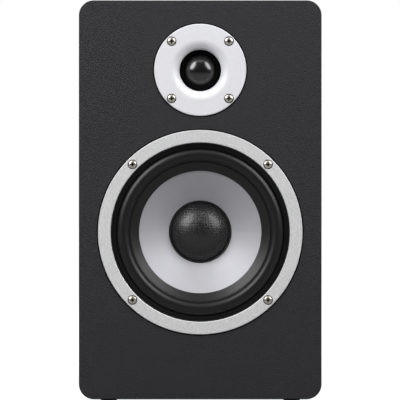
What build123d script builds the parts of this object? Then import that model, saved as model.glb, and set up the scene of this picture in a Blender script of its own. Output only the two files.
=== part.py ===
from build123d import *
import math
import os

# Two-way bookshelf loudspeaker: a passive, rear-ported wooden cabinet with a 165 mm class
# woofer under a 26 mm dome tweeter, a filter board on the cabinet floor and a pair of
# screw terminals in a dished cup at the back.
#
# Millimetres, +Z up. The baffle faces -Y, so +X is to the right of someone facing the
# speaker. The origin is under the middle of the whole object, on the plane that the feet
# stand on. A driver's own pieces are turned about a local Z axis that runs into the
# cabinet: depth 0 is the baffle's front face, and less than 0 stands proud of it.

# ---- Fits, shared by every piece -------------------------------------------------------
GLUE = 0.1            # glue line between two pieces that never move
SLIP = 0.3            # clearance of a fixed piece in its hole or rebate
MOVING_GAP = 0.2      # glue line between a moving piece and the soft part that carries it
RUNNING = 0.05        # end play between pieces that turn or slide on one another

# ---- Cabinet ---------------------------------------------------------------------------
WIDTH = 202.0
HEIGHT = 332.0        # cabinet alone, without its feet
DEPTH = 260.0         # baffle face to rear face
CORNER_R = 12.5       # the four long edges
EDGE_R = 0.8          # broken edges round the front and rear outlines
BAFFLE_T = 18.0
WALL_T = 15.0         # sides, top, bottom and rear panel

FOOT_R = 7.0
FOOT_H = 3.0
FOOT_INSET = 24.0     # foot centre from the cabinet's outline, both ways

# ---- Woofer ----------------------------------------------------------------------------
WOOFER_RISE = 139.0   # axis above the cabinet's underside
RING_R = 85.0
RING_BORE_R = 74.6
RING_T = 2.2
RING_PROUD = 1.2      # ring face in front of the baffle
RING_EDGE = 0.5       # bevels on the ring's two front edges
RING_SCREW_R = 79.7   # screw circle
GASKET_T = 1.5
GASKET_BORE_R = 74.2
FLANGE_R = 84.8
SHEET_T = 1.2         # pressed steel of the basket
SEAL_T = 1.0

STEP_R = 75.0         # outside of the pressed step behind the flange
LANDING_DROP = 3.5    # flange face back to the face that the surround is glued to
LANDING_BORE_R = 68.6
SURROUND_T = 0.8
ROLL_MID_R = 64.25
ROLL_R = 5.65         # half round roll, to the middle of the rubber
FLAP_BORE_R = 51.3    # inner edge of the rubber that lies on the cone

CONE_R = 58.0
CONE_SLOPE = 0.554    # depth gained for each millimetre towards the axis
CONE_T = 0.6
CONE_COLLAR = 3.0     # short tube at the cone's neck
CAP_R = 26.0
CAP_RISE = 12.0
CAP_RIM = 1.3
CAP_T = 0.5

COIL_FORMER_R = 15.3  # outside of the former
COIL_FORMER_T = 0.3
COIL_WIRE_T = 0.8     # two layers of wire
COIL_LENGTH = 12.0
AIR_GAP = 0.5         # each side of the coil
TOP_PLATE_R = 47.0
TOP_PLATE_T = 6.0
MAGNET_R = 50.0
MAGNET_BORE_R = 24.0
MAGNET_T = 17.0
BACK_PLATE_R = 47.0
BACK_PLATE_T = 6.0
POLE_LEAD = 2.0       # pole piece in front of the top plate

SHELF_DEPTH = 37.3    # basket shelf that the spider is glued to
SHELF_R = 52.0
CUP_WALL_R = 46.0     # inside of the basket's deep cup, which is the shelf's bore
BASKET_DEPTH = 46.8   # front of the basket's floor
BASKET_FLOOR_R = 20.0
SPOKES = 6
SPOKE_W = 14.0
WINDOW_START = 9.5    # depths between which the basket's windows are cut
WINDOW_END = 34.5
SPIDER_T = 0.5
SPIDER_WAVES = 5
SPIDER_TILT = 40.0    # steepest slope of the corrugations, in degrees
SPIDER_LIP = 4.0
TAG_BOARD_T = 1.5
TAG_W = 4.8
TAG_T = 0.8
TAG_LENGTH = 9.0
TAG_SPREAD = 5.0      # each tag's centre from the middle of its board
LEAD_R = 0.55         # braided leads to the voice coil

# ---- Tweeter ---------------------------------------------------------------------------
TWEETER_DROP = 58.0   # axis below the cabinet's top
PLATE_R = 38.3
PLATE_T = 3.0
PLATE_PROUD = 1.0
PLATE_EDGE = 0.6
PLATE_SCREW_R = 33.7
HORN_R = 25.4         # where the flat face begins to turn in
HORN_ROUND = 8.0      # radius of the rounded mouth
HUB_R = 27.4
HUB_DEPTH = 10.0      # back of the hub, where the diaphragm is clamped
TWEETER_SEAL_T = 0.8
DOME_R = 13.0
DOME_RISE = 6.2
DOME_T = 0.4
SOFT_T = 0.4          # tweeter surround
DOME_FORMER_R = 12.8
DOME_FORMER_T = 0.2
DOME_WIRE_T = 0.4
DOME_COIL_LENGTH = 3.0
DOME_AIR_GAP = 0.4
DOME_PLATE_R = 27.0
DOME_PLATE_T = 4.0
DOME_MAGNET_R = 27.5
DOME_MAGNET_BORE_R = 16.5
DOME_MAGNET_T = 10.0
DOME_BACK_R = 26.0
DOME_BACK_T = 4.0

# ---- Driver screws ---------------------------------------------------------------------
HEAD_R = 3.75
HEAD_H = 2.2
HEAD_SIDE = 0.9       # straight side under the dome
HEAD_PROUD = 0.8      # crown in front of the plate that it holds
SHANK_R = 2.0
SHANK_LENGTH = 14.0
POINT = 3.0           # tapered end of a screw
SLOT_W = 0.9          # cross recess
SLOT_DEPTH = 1.3

# ---- Bass port -------------------------------------------------------------------------
PORT_DROP = 86.0      # axis below the cabinet's top
PORT_BORE_R = 22.0
PORT_WALL = 2.0
PORT_FLARE = 10.0
PORT_FLANGE_R = 39.0
PORT_FLANGE_T = 2.5
PORT_LENGTH = 112.0

# ---- Terminal cup and posts ------------------------------------------------------------
CUP_RISE = 80.0
CUP_FLANGE_W = 100.0
CUP_FLANGE_H = 78.0
CUP_FLANGE_T = 2.5
CUP_SEAL_T = 0.8
CUP_W = 74.0          # outside of the dish
CUP_H = 54.0
CUP_WALL = 2.0
CUP_FLOOR_T = 2.5
CUP_DEPTH = 30.0      # flange face to the dish's floor
CUP_CORNER_R = 8.0
CUP_SCREW_INSET = 6.5
CUP_SCREW_HEAD_R = 3.3
CUP_SCREW_R = 1.6
CUP_SCREW_LENGTH = 13.0

POST_PITCH = 19.0
STUD_R = 3.0
STUD_TAIL = 10.0      # length inside the cup's floor
STUD_REACH = 24.5     # length outside it
SHOULDER_R = 5.2
SHOULDER_T = 1.5
COLLAR_R = 7.0
COLLAR_T = 3.0
PRESSER_R = 5.6       # loose washer that clamps a wire
PRESSER_T = 1.0
KNOB_R = 6.6
KNOB_LENGTH = 20.0
KNOB_FLUTES = 12
KNOB_FLUTE_R = 0.8
THREAD_CLEARANCE = 0.08
SOCKET_R = 2.0        # takes a 4 mm plug
SOCKET_DEPTH = 14.3
WIRE_HOLE_R = 1.6
WIRE_HOLE_RISE = 3.3  # hole's centre above the shoulder
NUT_R = 5.4           # across corners, halved
NUT_T = 4.0
TAG_RING_R = 4.6
TAG_RING_T = 0.8
TAG_TAIL = 11.0

# ---- Filter board ----------------------------------------------------------------------
BOARD_W = 112.0
BOARD_L = 84.0
BOARD_T = 1.6
BOARD_BACK = 56.0     # board's middle in front of the rear panel's inner face
BOARD_RISE = 6.0      # spacer height
BOARD_HOLE_INSET = 4.5
SPACER_R = 3.5
BOARD_SCREW_R = 1.5
BOARD_SCREW_HEAD_R = 3.0
BOARD_SCREW_HEAD_H = 1.8
BOARD_SCREW_BITE = 8.0
BLADE_H = 8.0         # push-on blades
BLADE_W = 4.8
BLADE_T = 0.8

BIG_COIL_R = 21.0
BIG_COIL_CORE_R = 9.0
BIG_COIL_H = 20.0
SMALL_COIL_R = 14.0
SMALL_COIL_CORE_R = 6.5
SMALL_COIL_H = 14.0
BOBBIN_T = 1.5
FILM_CAP_R = 9.0
FILM_CAP_L = 34.0
ROUND_CAP_R = 8.0
ROUND_CAP_L = 30.0
LONG_RESISTOR_L = 46.0
SHORT_RESISTOR_L = 24.0
RESISTOR_W = 9.5

WIRE_R = 1.1
PAIR_GAP = 3.4        # between the two wires of a pair

# ---- Wadding ---------------------------------------------------------------------------
WADDING_T = 17.0
WADDING_START = 36.0  # depth behind the baffle's face
WADDING_REAR_GAP = 1.0
SOFT_GAP = 0.4

# ---- Worked out ------------------------------------------------------------------------
FRONT_PROUD = max(RING_PROUD, PLATE_PROUD) + HEAD_PROUD
REAR_PROUD = max(CUP_SEAL_T + CUP_FLANGE_T, PORT_FLANGE_T)
FACE_Y = FRONT_PROUD - (DEPTH + FRONT_PROUD + REAR_PROUD) / 2
REAR_Y = FACE_Y + DEPTH
REAR_INNER_Y = REAR_Y - WALL_T
FLOOR_Z = FOOT_H + WALL_T                     # inside of the bottom panel
CEILING_Z = FOOT_H + HEIGHT - WALL_T
INNER_X = WIDTH / 2 - WALL_T

WOOFER_Z = FOOT_H + WOOFER_RISE
RING_BACK = RING_T - RING_PROUD               # depths of the stack in the woofer's rebate
GASKET_BACK = RING_BACK + GASKET_T
FLANGE_BACK = GASKET_BACK + SHEET_T
REBATE = FLANGE_BACK + SEAL_T
LANDING = GASKET_BACK + LANDING_DROP
ROLL_DEPTH = LANDING - GLUE - SURROUND_T / 2  # middle of the rubber's flat lips
ROLL_INNER_R = ROLL_MID_R - ROLL_R
ROLL_OUTER_R = ROLL_MID_R + ROLL_R
TAG_FRONT = SHELF_DEPTH + SHEET_T              # tag board lies on the shelf's back
TOP_PLATE_FRONT = BASKET_DEPTH + SHEET_T
TOP_PLATE_BACK = TOP_PLATE_FRONT + TOP_PLATE_T
MAGNET_BACK = TOP_PLATE_BACK + MAGNET_T
COIL_MIDDLE = TOP_PLATE_FRONT + TOP_PLATE_T / 2

TWEETER_Z = FOOT_H + HEIGHT - TWEETER_DROP
PLATE_BACK = PLATE_T - PLATE_PROUD
THROAT_R = HORN_R - HORN_ROUND
DIAPHRAGM = HUB_DEPTH + GLUE + SOFT_T         # front of the tweeter's top plate, less a glue line
DOME_TOP_FRONT = DIAPHRAGM + GLUE
DOME_TOP_BACK = DOME_TOP_FRONT + DOME_PLATE_T
DOME_MAGNET_BACK = DOME_TOP_BACK + DOME_MAGNET_T

PORT_Z = FOOT_H + HEIGHT - PORT_DROP
CUP_Z = FOOT_H + CUP_RISE
CUP_FACE_Y = REAR_Y + CUP_SEAL_T + CUP_FLANGE_T
CUP_FLOOR_Y = CUP_FACE_Y - CUP_DEPTH          # face that the posts stand on
BOARD_Y = REAR_INNER_Y - BOARD_BACK
BOARD_TOP = FLOOR_Z + BOARD_RISE + BOARD_T


# ---- Helpers ---------------------------------------------------------------------------
def pipe(bore, radius, start, end):
    """A plain ring about local Z, from depth start to depth end."""
    whole = Cylinder(radius, end - start) - Cylinder(bore, end - start)
    return Pos(0, 0, (start + end) / 2) * whole


def disc(radius, start, end):
    """A plain cylinder about local Z, from depth start to depth end."""
    return Pos(0, 0, (start + end) / 2) * Cylinder(radius, end - start)


def lathe(*edges):
    """Turn a closed outline of edges, drawn as (radius, depth), about local Z."""
    return revolve(Plane.XZ * make_face(Curve() + list(edges)), Axis.Z)


def into_baffle(shape, height):
    """Stand a driver's piece at its height, with its depths running back from the baffle."""
    return Pos(0, FACE_Y, height) * Rot(-90, 0, 0) * shape


def out_of_back(shape, x, z, y):
    """Stand a piece that is drawn along local +Z so that it points out of the cabinet's back."""
    return Pos(x, y, z) * Rot(-90, 0, 0) * shape


def block(x0, x1, y0, y1, z0, z1):
    """A box between two corners."""
    middle = Pos((x0 + x1) / 2, (y0 + y1) / 2, (z0 + z1) / 2)
    return middle * Box(x1 - x0, y1 - y0, z1 - z0)


def on_circle(radius, count=4, first=45.0):
    """Places evenly spaced on a circle about local Z."""
    turns = [math.radians(first + 360.0 * n / count) for n in range(count)]
    return [Pos(radius * math.cos(t), radius * math.sin(t), 0) for t in turns]


def wire_path(points):
    """A path through the points, each corner rounded as far as its two runs allow."""
    stops = [Vector(*p) for p in points]
    radii = []
    for before, here, after in zip(stops, stops[1:], stops[2:]):
        turn = math.radians((here - before).get_angle(after - here))
        run = min((here - before).length, (after - here).length)
        radii.append(0.45 * run / math.tan(turn / 2))
    return FilletPolyline(*stops, radius=radii)


def cord(points, radius):
    """A round cord along a path of straight runs and tangent arcs."""
    path = wire_path(points)
    start = Plane(origin=path @ 0, z_dir=path % 0)
    return sweep(start * Circle(radius), path=path)


def solids_of(*shapes):
    """Several separate solids as one group."""
    return Compound(children=[s for shape in shapes for s in shape.solids()])


# ---- Cabinet ---------------------------------------------------------------------------
def outline(inset=0.0):
    """The cabinet's front outline, or one that lies inset from it."""
    corner = max(CORNER_R - inset, 0.5)
    return RectangleRounded(WIDTH - 2 * inset, HEIGHT - 2 * inset, corner)


def slab(shape, y0, y1):
    """Extrude an upright outline, centred on the cabinet, from y0 to y1."""
    upright = Pos(0, y0, FOOT_H + HEIGHT / 2) * Rot(-90, 0, 0) * shape
    return extrude(upright, y1 - y0, dir=(0, 1, 0))


def sleeve():
    """The tube of four walls behind the baffle, before it is cut at its mitres."""
    start = FACE_Y + BAFFLE_T
    hollow = Rectangle(WIDTH - 2 * WALL_T, HEIGHT - 2 * WALL_T)
    tube = slab(outline(), start, REAR_Y) - slab(hollow, start, REAR_Y)
    rim = tube.faces().sort_by(Axis.Y)[-1].outer_wire().edges()
    return fillet(rim, EDGE_R)


def wall(side):
    """One mitred wall of the sleeve: left, right, top or bottom."""
    x, z0, z1 = WIDTH / 2, FOOT_H, FOOT_H + HEIGHT
    outer = [(-x, z0), (x, z0), (x, z1), (-x, z1)]
    inner = [(-INNER_X, FLOOR_Z), (INNER_X, FLOOR_Z), (INNER_X, CEILING_Z), (-INNER_X, CEILING_Z)]
    first = {"bottom": 0, "right": 1, "top": 2, "left": 3}[side]
    second = (first + 1) % 4
    corners = [outer[first], outer[second], inner[second], inner[first]]
    wedge = make_face(Polyline(*corners, close=True))
    start = FACE_Y + BAFFLE_T
    cutter = extrude(Pos(0, start, 0) * Rot(90, 0, 0) * wedge, DEPTH, dir=(0, 1, 0))
    return sleeve() & cutter


def front_baffle():
    """Full-face board, rebated and bored for both drivers."""
    board = slab(outline(), FACE_Y, FACE_Y + BAFFLE_T)
    rim = board.faces().sort_by(Axis.Y)[0].outer_wire().edges()
    board = fillet(rim, EDGE_R)
    woofer = disc(RING_R + SLIP, 0, REBATE) + disc(STEP_R + SLIP, 0, BAFFLE_T)
    tweeter = disc(PLATE_R + SLIP, 0, PLATE_BACK + TWEETER_SEAL_T)
    tweeter += disc(HUB_R + SLIP, 0, BAFFLE_T) + disc(DOME_MAGNET_R + SLIP, HUB_DEPTH, BAFFLE_T)
    pilot = disc(SHANK_R + GLUE, 0, SHANK_LENGTH + 1)
    for place in on_circle(RING_SCREW_R):
        woofer += place * pilot
    for place in on_circle(PLATE_SCREW_R):
        tweeter += place * pilot
    return board - into_baffle(woofer, WOOFER_Z) - into_baffle(tweeter, TWEETER_Z)


def rear_panel():
    """Board let into the sleeve's back, cut for the port and the terminal cup."""
    board = block(-INNER_X, INNER_X, REAR_INNER_Y, REAR_Y, FLOOR_Z, CEILING_Z)
    board -= out_of_back(disc(port_hub_r() + SLIP, 0, WALL_T), 0, PORT_Z, REAR_INNER_Y)
    dish = RectangleRounded(CUP_W + 2 * SLIP, CUP_H + 2 * SLIP, CUP_CORNER_R + SLIP)
    board -= out_of_back(extrude(dish, WALL_T), 0, CUP_Z, REAR_INNER_Y)
    for x, z in cup_screw_places():
        pilot = disc(CUP_SCREW_R + GLUE, -CUP_SCREW_LENGTH, 0)
        board -= out_of_back(pilot, x, CUP_Z + z, REAR_Y)
    return board


def foot_places():
    """Centre of each foot, in the ground plane."""
    x = WIDTH / 2 - FOOT_INSET
    return [(sx * x, y) for sx in (-1, 1) for y in (FACE_Y + FOOT_INSET, REAR_Y - FOOT_INSET)]


def rubber_feet():
    """Four stick-on feet with a rounded lower edge."""
    foot = disc(FOOT_R, 0, FOOT_H)
    foot = fillet(foot.edges().sort_by(Axis.Z)[0], FOOT_H / 4)
    return solids_of(*[Pos(x, y, 0) * foot for x, y in foot_places()])


# ---- Screws ----------------------------------------------------------------------------
def pan_screw():
    """Wood screw with a domed head and a cross recess; the head's seat is at depth 0."""
    dome = HEAD_H - HEAD_SIDE
    sphere = (HEAD_R ** 2 + dome ** 2) / (2 * dome)
    crown = Pos(0, 0, sphere - HEAD_H) * Sphere(sphere) & disc(HEAD_R, -HEAD_H, -HEAD_SIDE)
    head = crown + disc(HEAD_R, -HEAD_SIDE, 0)
    for angle in (0, 90):
        slot = Box(2 * HEAD_R * 0.6, SLOT_W, SLOT_DEPTH)
        head -= Pos(0, 0, SLOT_DEPTH / 2 - HEAD_H) * Rot(0, 0, angle) * slot
    point = Pos(0, 0, SHANK_LENGTH - POINT / 2) * Cone(SHANK_R, SHANK_R * 0.2, POINT)
    return head + disc(SHANK_R, 0, SHANK_LENGTH - POINT) + point


def driver_screws(circle, plate_face, height):
    """Four screws in a driver's plate, with their crowns just proud of it."""
    seat = plate_face - HEAD_PROUD + HEAD_H
    screw = Pos(0, 0, seat) * pan_screw()
    return solids_of(*[into_baffle(place * screw, height) for place in on_circle(circle)])


def screw_pocket(plate_face, plate_back):
    """What a driver screw cuts out of the plate that it holds."""
    seat = plate_face - HEAD_PROUD + HEAD_H
    return disc(HEAD_R + SLIP, plate_face, seat) + disc(SHANK_R + SLIP, plate_face, plate_back)


# ---- Woofer ----------------------------------------------------------------------------
def cone_face(radius):
    """Depth of the cone's front face at a radius."""
    return ROLL_DEPTH + SURROUND_T / 2 + MOVING_GAP + (ROLL_INNER_R - radius) * CONE_SLOPE


def woofer_trim_ring():
    """Bevelled metal ring that covers the woofer's flange."""
    outer, inner, top = RING_R, RING_BORE_R, -RING_PROUD
    section = Polyline(
        (inner, top + RING_EDGE),
        (inner + RING_EDGE, top),
        (outer - RING_EDGE, top),
        (outer, top + RING_EDGE),
        (outer, RING_BACK),
        (inner, RING_BACK),
        close=True,
    )
    ring = lathe(section)
    for place in on_circle(RING_SCREW_R):
        ring -= place * screw_pocket(top, RING_BACK)
    return into_baffle(ring, WOOFER_Z)


def drilled(ring, circle):
    """A flat ring with clearance holes for the driver's screws."""
    for place in on_circle(circle):
        ring -= place * disc(SHANK_R + SLIP, -50, 50)
    return ring


def woofer_gasket():
    """Black foam ring between the trim ring and the basket's flange."""
    ring = pipe(GASKET_BORE_R, RING_R - GLUE, RING_BACK, GASKET_BACK)
    return into_baffle(drilled(ring, RING_SCREW_R), WOOFER_Z)


def woofer_seal():
    """Foam ring that seals the flange to the baffle's rebate."""
    ring = pipe(STEP_R + SLIP, FLANGE_R, FLANGE_BACK, REBATE)
    return into_baffle(drilled(ring, RING_SCREW_R), WOOFER_Z)


def woofer_basket():
    """Pressed steel frame: flange, landing, spokes, spider shelf and deep cup."""
    t = SHEET_T
    section = Polyline(
        (FLANGE_R, GASKET_BACK),
        (STEP_R - t, GASKET_BACK),
        (STEP_R - t, LANDING),
        (LANDING_BORE_R, LANDING),
        (SHELF_R, SHELF_DEPTH),
        (CUP_WALL_R, SHELF_DEPTH),
        (CUP_WALL_R, BASKET_DEPTH),
        (BASKET_FLOOR_R, BASKET_DEPTH),
        (BASKET_FLOOR_R, BASKET_DEPTH + t),
        (CUP_WALL_R + t, BASKET_DEPTH + t),
        (CUP_WALL_R + t, SHELF_DEPTH + t),
        (SHELF_R + t, SHELF_DEPTH + t),
        (LANDING_BORE_R + t, LANDING + t),
        (STEP_R, LANDING + t),
        (STEP_R, FLANGE_BACK),
        (FLANGE_R, FLANGE_BACK),
        close=True,
    )
    basket = drilled(lathe(section), RING_SCREW_R)
    windows = pipe(CUP_WALL_R + t, STEP_R, WINDOW_START, WINDOW_END)
    for n in range(SPOKES):
        spoke = Pos(STEP_R / 2, 0, (WINDOW_START + WINDOW_END) / 2)
        spoke *= Box(STEP_R * 1.2, SPOKE_W, WINDOW_END - WINDOW_START)
        windows -= Rot(0, 0, 360.0 / SPOKES * (n + 0.5)) * spoke
    return into_baffle(basket - windows, WOOFER_Z)


def woofer_surround():
    """Rubber half roll with a flat outer lip and a flap that lies on the cone."""
    t, mid, depth = SURROUND_T / 2, ROLL_MID_R, ROLL_DEPTH
    lip_r = STEP_R - SHEET_T - SLIP
    flap_front = cone_face(FLAP_BORE_R) - MOVING_GAP - SURROUND_T
    return into_baffle(
        lathe(
            Line((lip_r, depth + t), (lip_r, depth - t)),
            Line((lip_r, depth - t), (ROLL_OUTER_R + t, depth - t)),
            ThreePointArc(
                (ROLL_OUTER_R + t, depth - t),
                (mid, depth - t - ROLL_R),
                (ROLL_INNER_R - t, depth - t),
            ),
            Line((ROLL_INNER_R - t, depth - t), (FLAP_BORE_R, flap_front)),
            Line((FLAP_BORE_R, flap_front), (FLAP_BORE_R, flap_front + SURROUND_T)),
            Line((FLAP_BORE_R, flap_front + SURROUND_T), (ROLL_INNER_R + t, depth + t)),
            ThreePointArc(
                (ROLL_INNER_R + t, depth + t),
                (mid, depth + t - ROLL_R),
                (ROLL_OUTER_R - t, depth + t),
            ),
            Line((ROLL_OUTER_R - t, depth + t), (lip_r, depth + t)),
        ),
        WOOFER_Z,
    )


def woofer_cone():
    """Straight-sided cone with a short collar round the voice coil's former."""
    neck_r = COIL_FORMER_R + GLUE
    neck = cone_face(neck_r)
    section = Polyline(
        (CONE_R, cone_face(CONE_R)),
        (neck_r, neck),
        (neck_r, neck + CONE_COLLAR),
        (neck_r + CONE_T, neck + CONE_COLLAR),
        (neck_r + CONE_T, neck + CONE_T / 2),
        (CONE_R, cone_face(CONE_R) + CONE_T),
        close=True,
    )
    return into_baffle(lathe(section), WOOFER_Z)


def woofer_dust_cap():
    """Domed cap with a narrow rim glued to the cone."""
    dome_r = CAP_R - CAP_RIM
    rim, foot = cone_face(CAP_R) - GLUE, cone_face(dome_r) - GLUE
    crown = foot - CAP_RISE
    sphere = (dome_r ** 2 + CAP_RISE ** 2) / (2 * CAP_RISE)
    half = dome_r / 2
    shoulder = crown + sphere - math.sqrt(sphere ** 2 - half ** 2)
    return into_baffle(
        lathe(
            Line((CAP_R, rim), (CAP_R, rim - CAP_T)),
            Line((CAP_R, rim - CAP_T), (dome_r, foot - CAP_T)),
            ThreePointArc((dome_r, foot - CAP_T), (half, shoulder - CAP_T), (0, crown - CAP_T)),
            Line((0, crown - CAP_T), (0, crown)),
            ThreePointArc((0, crown), (half - CAP_T / 2, shoulder), (dome_r - CAP_T, foot)),
            Line((dome_r - CAP_T, foot), (dome_r, foot)),
            Line((dome_r, foot), (CAP_R, rim)),
        ),
        WOOFER_Z,
    )


def woofer_coil_former():
    """Thin tube that carries the voice coil."""
    start = cone_face(COIL_FORMER_R + GLUE)
    tube = pipe(COIL_FORMER_R - COIL_FORMER_T, COIL_FORMER_R, start, COIL_MIDDLE + COIL_LENGTH / 2)
    return into_baffle(tube, WOOFER_Z)


def woofer_voice_coil():
    """Copper winding at the end of the former, centred in the top plate."""
    start = COIL_MIDDLE - COIL_LENGTH / 2
    coil = pipe(COIL_FORMER_R, COIL_FORMER_R + COIL_WIRE_T, start, start + COIL_LENGTH)
    return into_baffle(coil, WOOFER_Z)


def woofer_spider():
    """Corrugated cloth disc that centres the former; tangent arcs, up and down in turn."""
    inner = COIL_FORMER_R + MOVING_GAP
    outer = CUP_WALL_R + SHEET_T
    depth, t = SHELF_DEPTH - GLUE - SPIDER_T / 2, SPIDER_T / 2
    tilt = math.radians(SPIDER_TILT)
    start = inner + 2.0
    chord = (outer - start) / (2 * SPIDER_WAVES)
    arc_r = chord / 2 / math.sin(tilt)
    sag = arc_r * (1 - math.cos(tilt))

    def side(way):
        """One face of the cloth, as edges from the former out to the lip."""
        joints = [(start, depth + way * t)]
        for n in range(1, 2 * SPIDER_WAVES):
            lean = math.sin(tilt) * t * way * (1 if n % 2 else -1)
            joints.append((start + n * chord + lean, depth + way * math.cos(tilt) * t))
        joints.append((outer, depth + way * t))
        edges = [Line((inner, depth + way * t), joints[0])]
        for n, (a, b) in enumerate(zip(joints, joints[1:])):
            bulge = -sag if n % 2 else sag
            edges.append(ThreePointArc(a, (start + (n + 0.5) * chord, depth + bulge + way * t), b))
        return edges + [Line(joints[-1], (outer + SPIDER_LIP, depth + way * t))]

    ends = [Line((r, depth - t), (r, depth + t)) for r in (inner, outer + SPIDER_LIP)]
    return into_baffle(lathe(*side(-1), *side(1), *ends), WOOFER_Z)


def woofer_top_plate():
    """Front washer of the magnet."""
    bore = COIL_FORMER_R + COIL_WIRE_T + AIR_GAP
    return into_baffle(pipe(bore, TOP_PLATE_R, TOP_PLATE_FRONT, TOP_PLATE_BACK), WOOFER_Z)


def woofer_magnet():
    """Ferrite ring."""
    ring = pipe(MAGNET_BORE_R, MAGNET_R, TOP_PLATE_BACK, MAGNET_BACK)
    return into_baffle(ring, WOOFER_Z)


def woofer_back_plate():
    """Back plate and pole piece, in one forging."""
    pole_r = COIL_FORMER_R - COIL_FORMER_T - AIR_GAP
    pole = disc(pole_r, TOP_PLATE_FRONT - POLE_LEAD, MAGNET_BACK)
    return into_baffle(pole + disc(BACK_PLATE_R, MAGNET_BACK, MAGNET_BACK + BACK_PLATE_T), WOOFER_Z)


def woofer_tag_place(offset):
    """World (x, z) of a woofer tag, and the depth of its tip."""
    return SHELF_R + 6.0, WOOFER_Z + offset, TAG_FRONT + TAG_BOARD_T + TAG_LENGTH



def woofer_terminals():
    """Fibre board on the back of the shelf, with two push-on tags."""
    x, _, _ = woofer_tag_place(0)
    y = FACE_Y + TAG_FRONT
    back, near = y + TAG_BOARD_T, CUP_WALL_R + SHEET_T + GLUE
    wide = TAG_SPREAD + TAG_W
    board = block(near, x + 4, y, back, WOOFER_Z - wide, WOOFER_Z + wide)
    tags = []
    for offset in (-TAG_SPREAD, TAG_SPREAD):
        _, z, tip = woofer_tag_place(offset)
        low, high = z - TAG_W / 2, z + TAG_W / 2
        tags.append(block(x - TAG_T / 2, x + TAG_T / 2, back, FACE_Y + tip, low, high))
    return solids_of(board, *tags)


def woofer_leads():
    """Two slack braided leads from the tag board, through a window, to the cone's back."""
    x, _, _ = woofer_tag_place(0)
    leads = []
    for offset in (-TAG_SPREAD, TAG_SPREAD):
        z = WOOFER_Z + offset
        end_r = 33.0
        end = cone_face(math.hypot(end_r, offset)) + CONE_T * 1.2 + LEAD_R + MOVING_GAP
        route = [
            (x - 0.5, TAG_FRONT - GLUE),
            (x - 1.0, TAG_FRONT - 5.0),
            (x - 8.0, TAG_FRONT - 7.5),
            (x - 16.0, TAG_FRONT - 6.6),
            (end_r + 2.0, TAG_FRONT - 9.0),
            (end_r, end),
        ]
        leads.append(cord([(r, FACE_Y + d, z) for r, d in route], LEAD_R))
    return solids_of(*leads)


# ---- Tweeter ---------------------------------------------------------------------------
def tweeter_faceplate():
    """Round plate whose middle rolls back into a short throat, with a hub behind."""
    top, round_r = -PLATE_PROUD, HORN_ROUND
    lean = round_r * math.sqrt(0.5)
    plate = lathe(
        Line((THROAT_R, HUB_DEPTH), (THROAT_R, top + round_r)),
        ThreePointArc(
            (THROAT_R, top + round_r),
            (HORN_R - lean, top + round_r - lean),
            (HORN_R, top),
        ),
        Polyline(
            (HORN_R, top),
            (PLATE_R - PLATE_EDGE, top),
            (PLATE_R, top + PLATE_EDGE),
            (PLATE_R, PLATE_BACK),
            (HUB_R, PLATE_BACK),
            (HUB_R, HUB_DEPTH),
            (THROAT_R, HUB_DEPTH),
        ),
    )
    for place in on_circle(PLATE_SCREW_R):
        plate -= place * screw_pocket(top, PLATE_BACK)
    return into_baffle(plate, TWEETER_Z)


def tweeter_seal():
    """Foam ring under the faceplate."""
    ring = pipe(HUB_R + SLIP, PLATE_R, PLATE_BACK, PLATE_BACK + TWEETER_SEAL_T)
    return into_baffle(drilled(ring, PLATE_SCREW_R), TWEETER_Z)


def tweeter_dome():
    """Soft dome; its foot sits on the former."""
    foot, t = HUB_DEPTH, DOME_T
    crown = foot - DOME_RISE
    sphere = (DOME_R ** 2 + DOME_RISE ** 2) / (2 * DOME_RISE)
    half = DOME_R / 2
    shoulder = crown + sphere - math.sqrt(sphere ** 2 - half ** 2)
    return into_baffle(
        lathe(
            ThreePointArc((DOME_R, foot), (half, shoulder), (0, crown)),
            Line((0, crown), (0, crown + t)),
            ThreePointArc((0, crown + t), (half - t / 2, shoulder + t), (DOME_R - t * 1.4, foot)),
            Line((DOME_R - t * 1.4, foot), (DOME_R, foot)),
        ),
        TWEETER_Z,
    )


def tweeter_surround():
    """Half roll round the dome, and the flat rim that the hub clamps."""
    inner = DOME_R + MOVING_GAP
    outer = THROAT_R - SLIP
    depth, t = HUB_DEPTH + GLUE + SOFT_T / 2, SOFT_T / 2
    mid, roll = (inner + outer) / 2, (outer - inner) / 2
    rim = HUB_R - GLUE
    return into_baffle(
        lathe(
            ThreePointArc((inner, depth + t), (mid, depth - roll - t), (outer, depth - t)),
            Line((outer, depth - t), (rim, depth - t)),
            Line((rim, depth - t), (rim, depth + t)),
            Line((rim, depth + t), (outer - 2 * t, depth + t)),
            ThreePointArc(
                (outer - 2 * t, depth + t),
                (mid, depth - roll + t),
                (inner + 2 * t, depth + t),
            ),
            Line((inner + 2 * t, depth + t), (inner, depth + t)),
        ),
        TWEETER_Z,
    )


def dome_coil_start():
    """Depth where the tweeter's winding begins, centred in its top plate."""
    return DOME_TOP_FRONT + (DOME_PLATE_T - DOME_COIL_LENGTH) / 2


def tweeter_coil_former():
    """Thin tube under the dome."""
    end = dome_coil_start() + DOME_COIL_LENGTH
    tube = pipe(DOME_FORMER_R - DOME_FORMER_T, DOME_FORMER_R, HUB_DEPTH, end)
    return into_baffle(tube, TWEETER_Z)


def tweeter_voice_coil():
    """Fine winding at the former's end."""
    start = dome_coil_start()
    coil = pipe(DOME_FORMER_R, DOME_FORMER_R + DOME_WIRE_T, start, start + DOME_COIL_LENGTH)
    return into_baffle(coil, TWEETER_Z)


def tweeter_top_plate():
    """Front washer of the tweeter's magnet."""
    bore = DOME_FORMER_R + DOME_WIRE_T + DOME_AIR_GAP
    return into_baffle(pipe(bore, DOME_PLATE_R, DOME_TOP_FRONT, DOME_TOP_BACK), TWEETER_Z)


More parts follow.
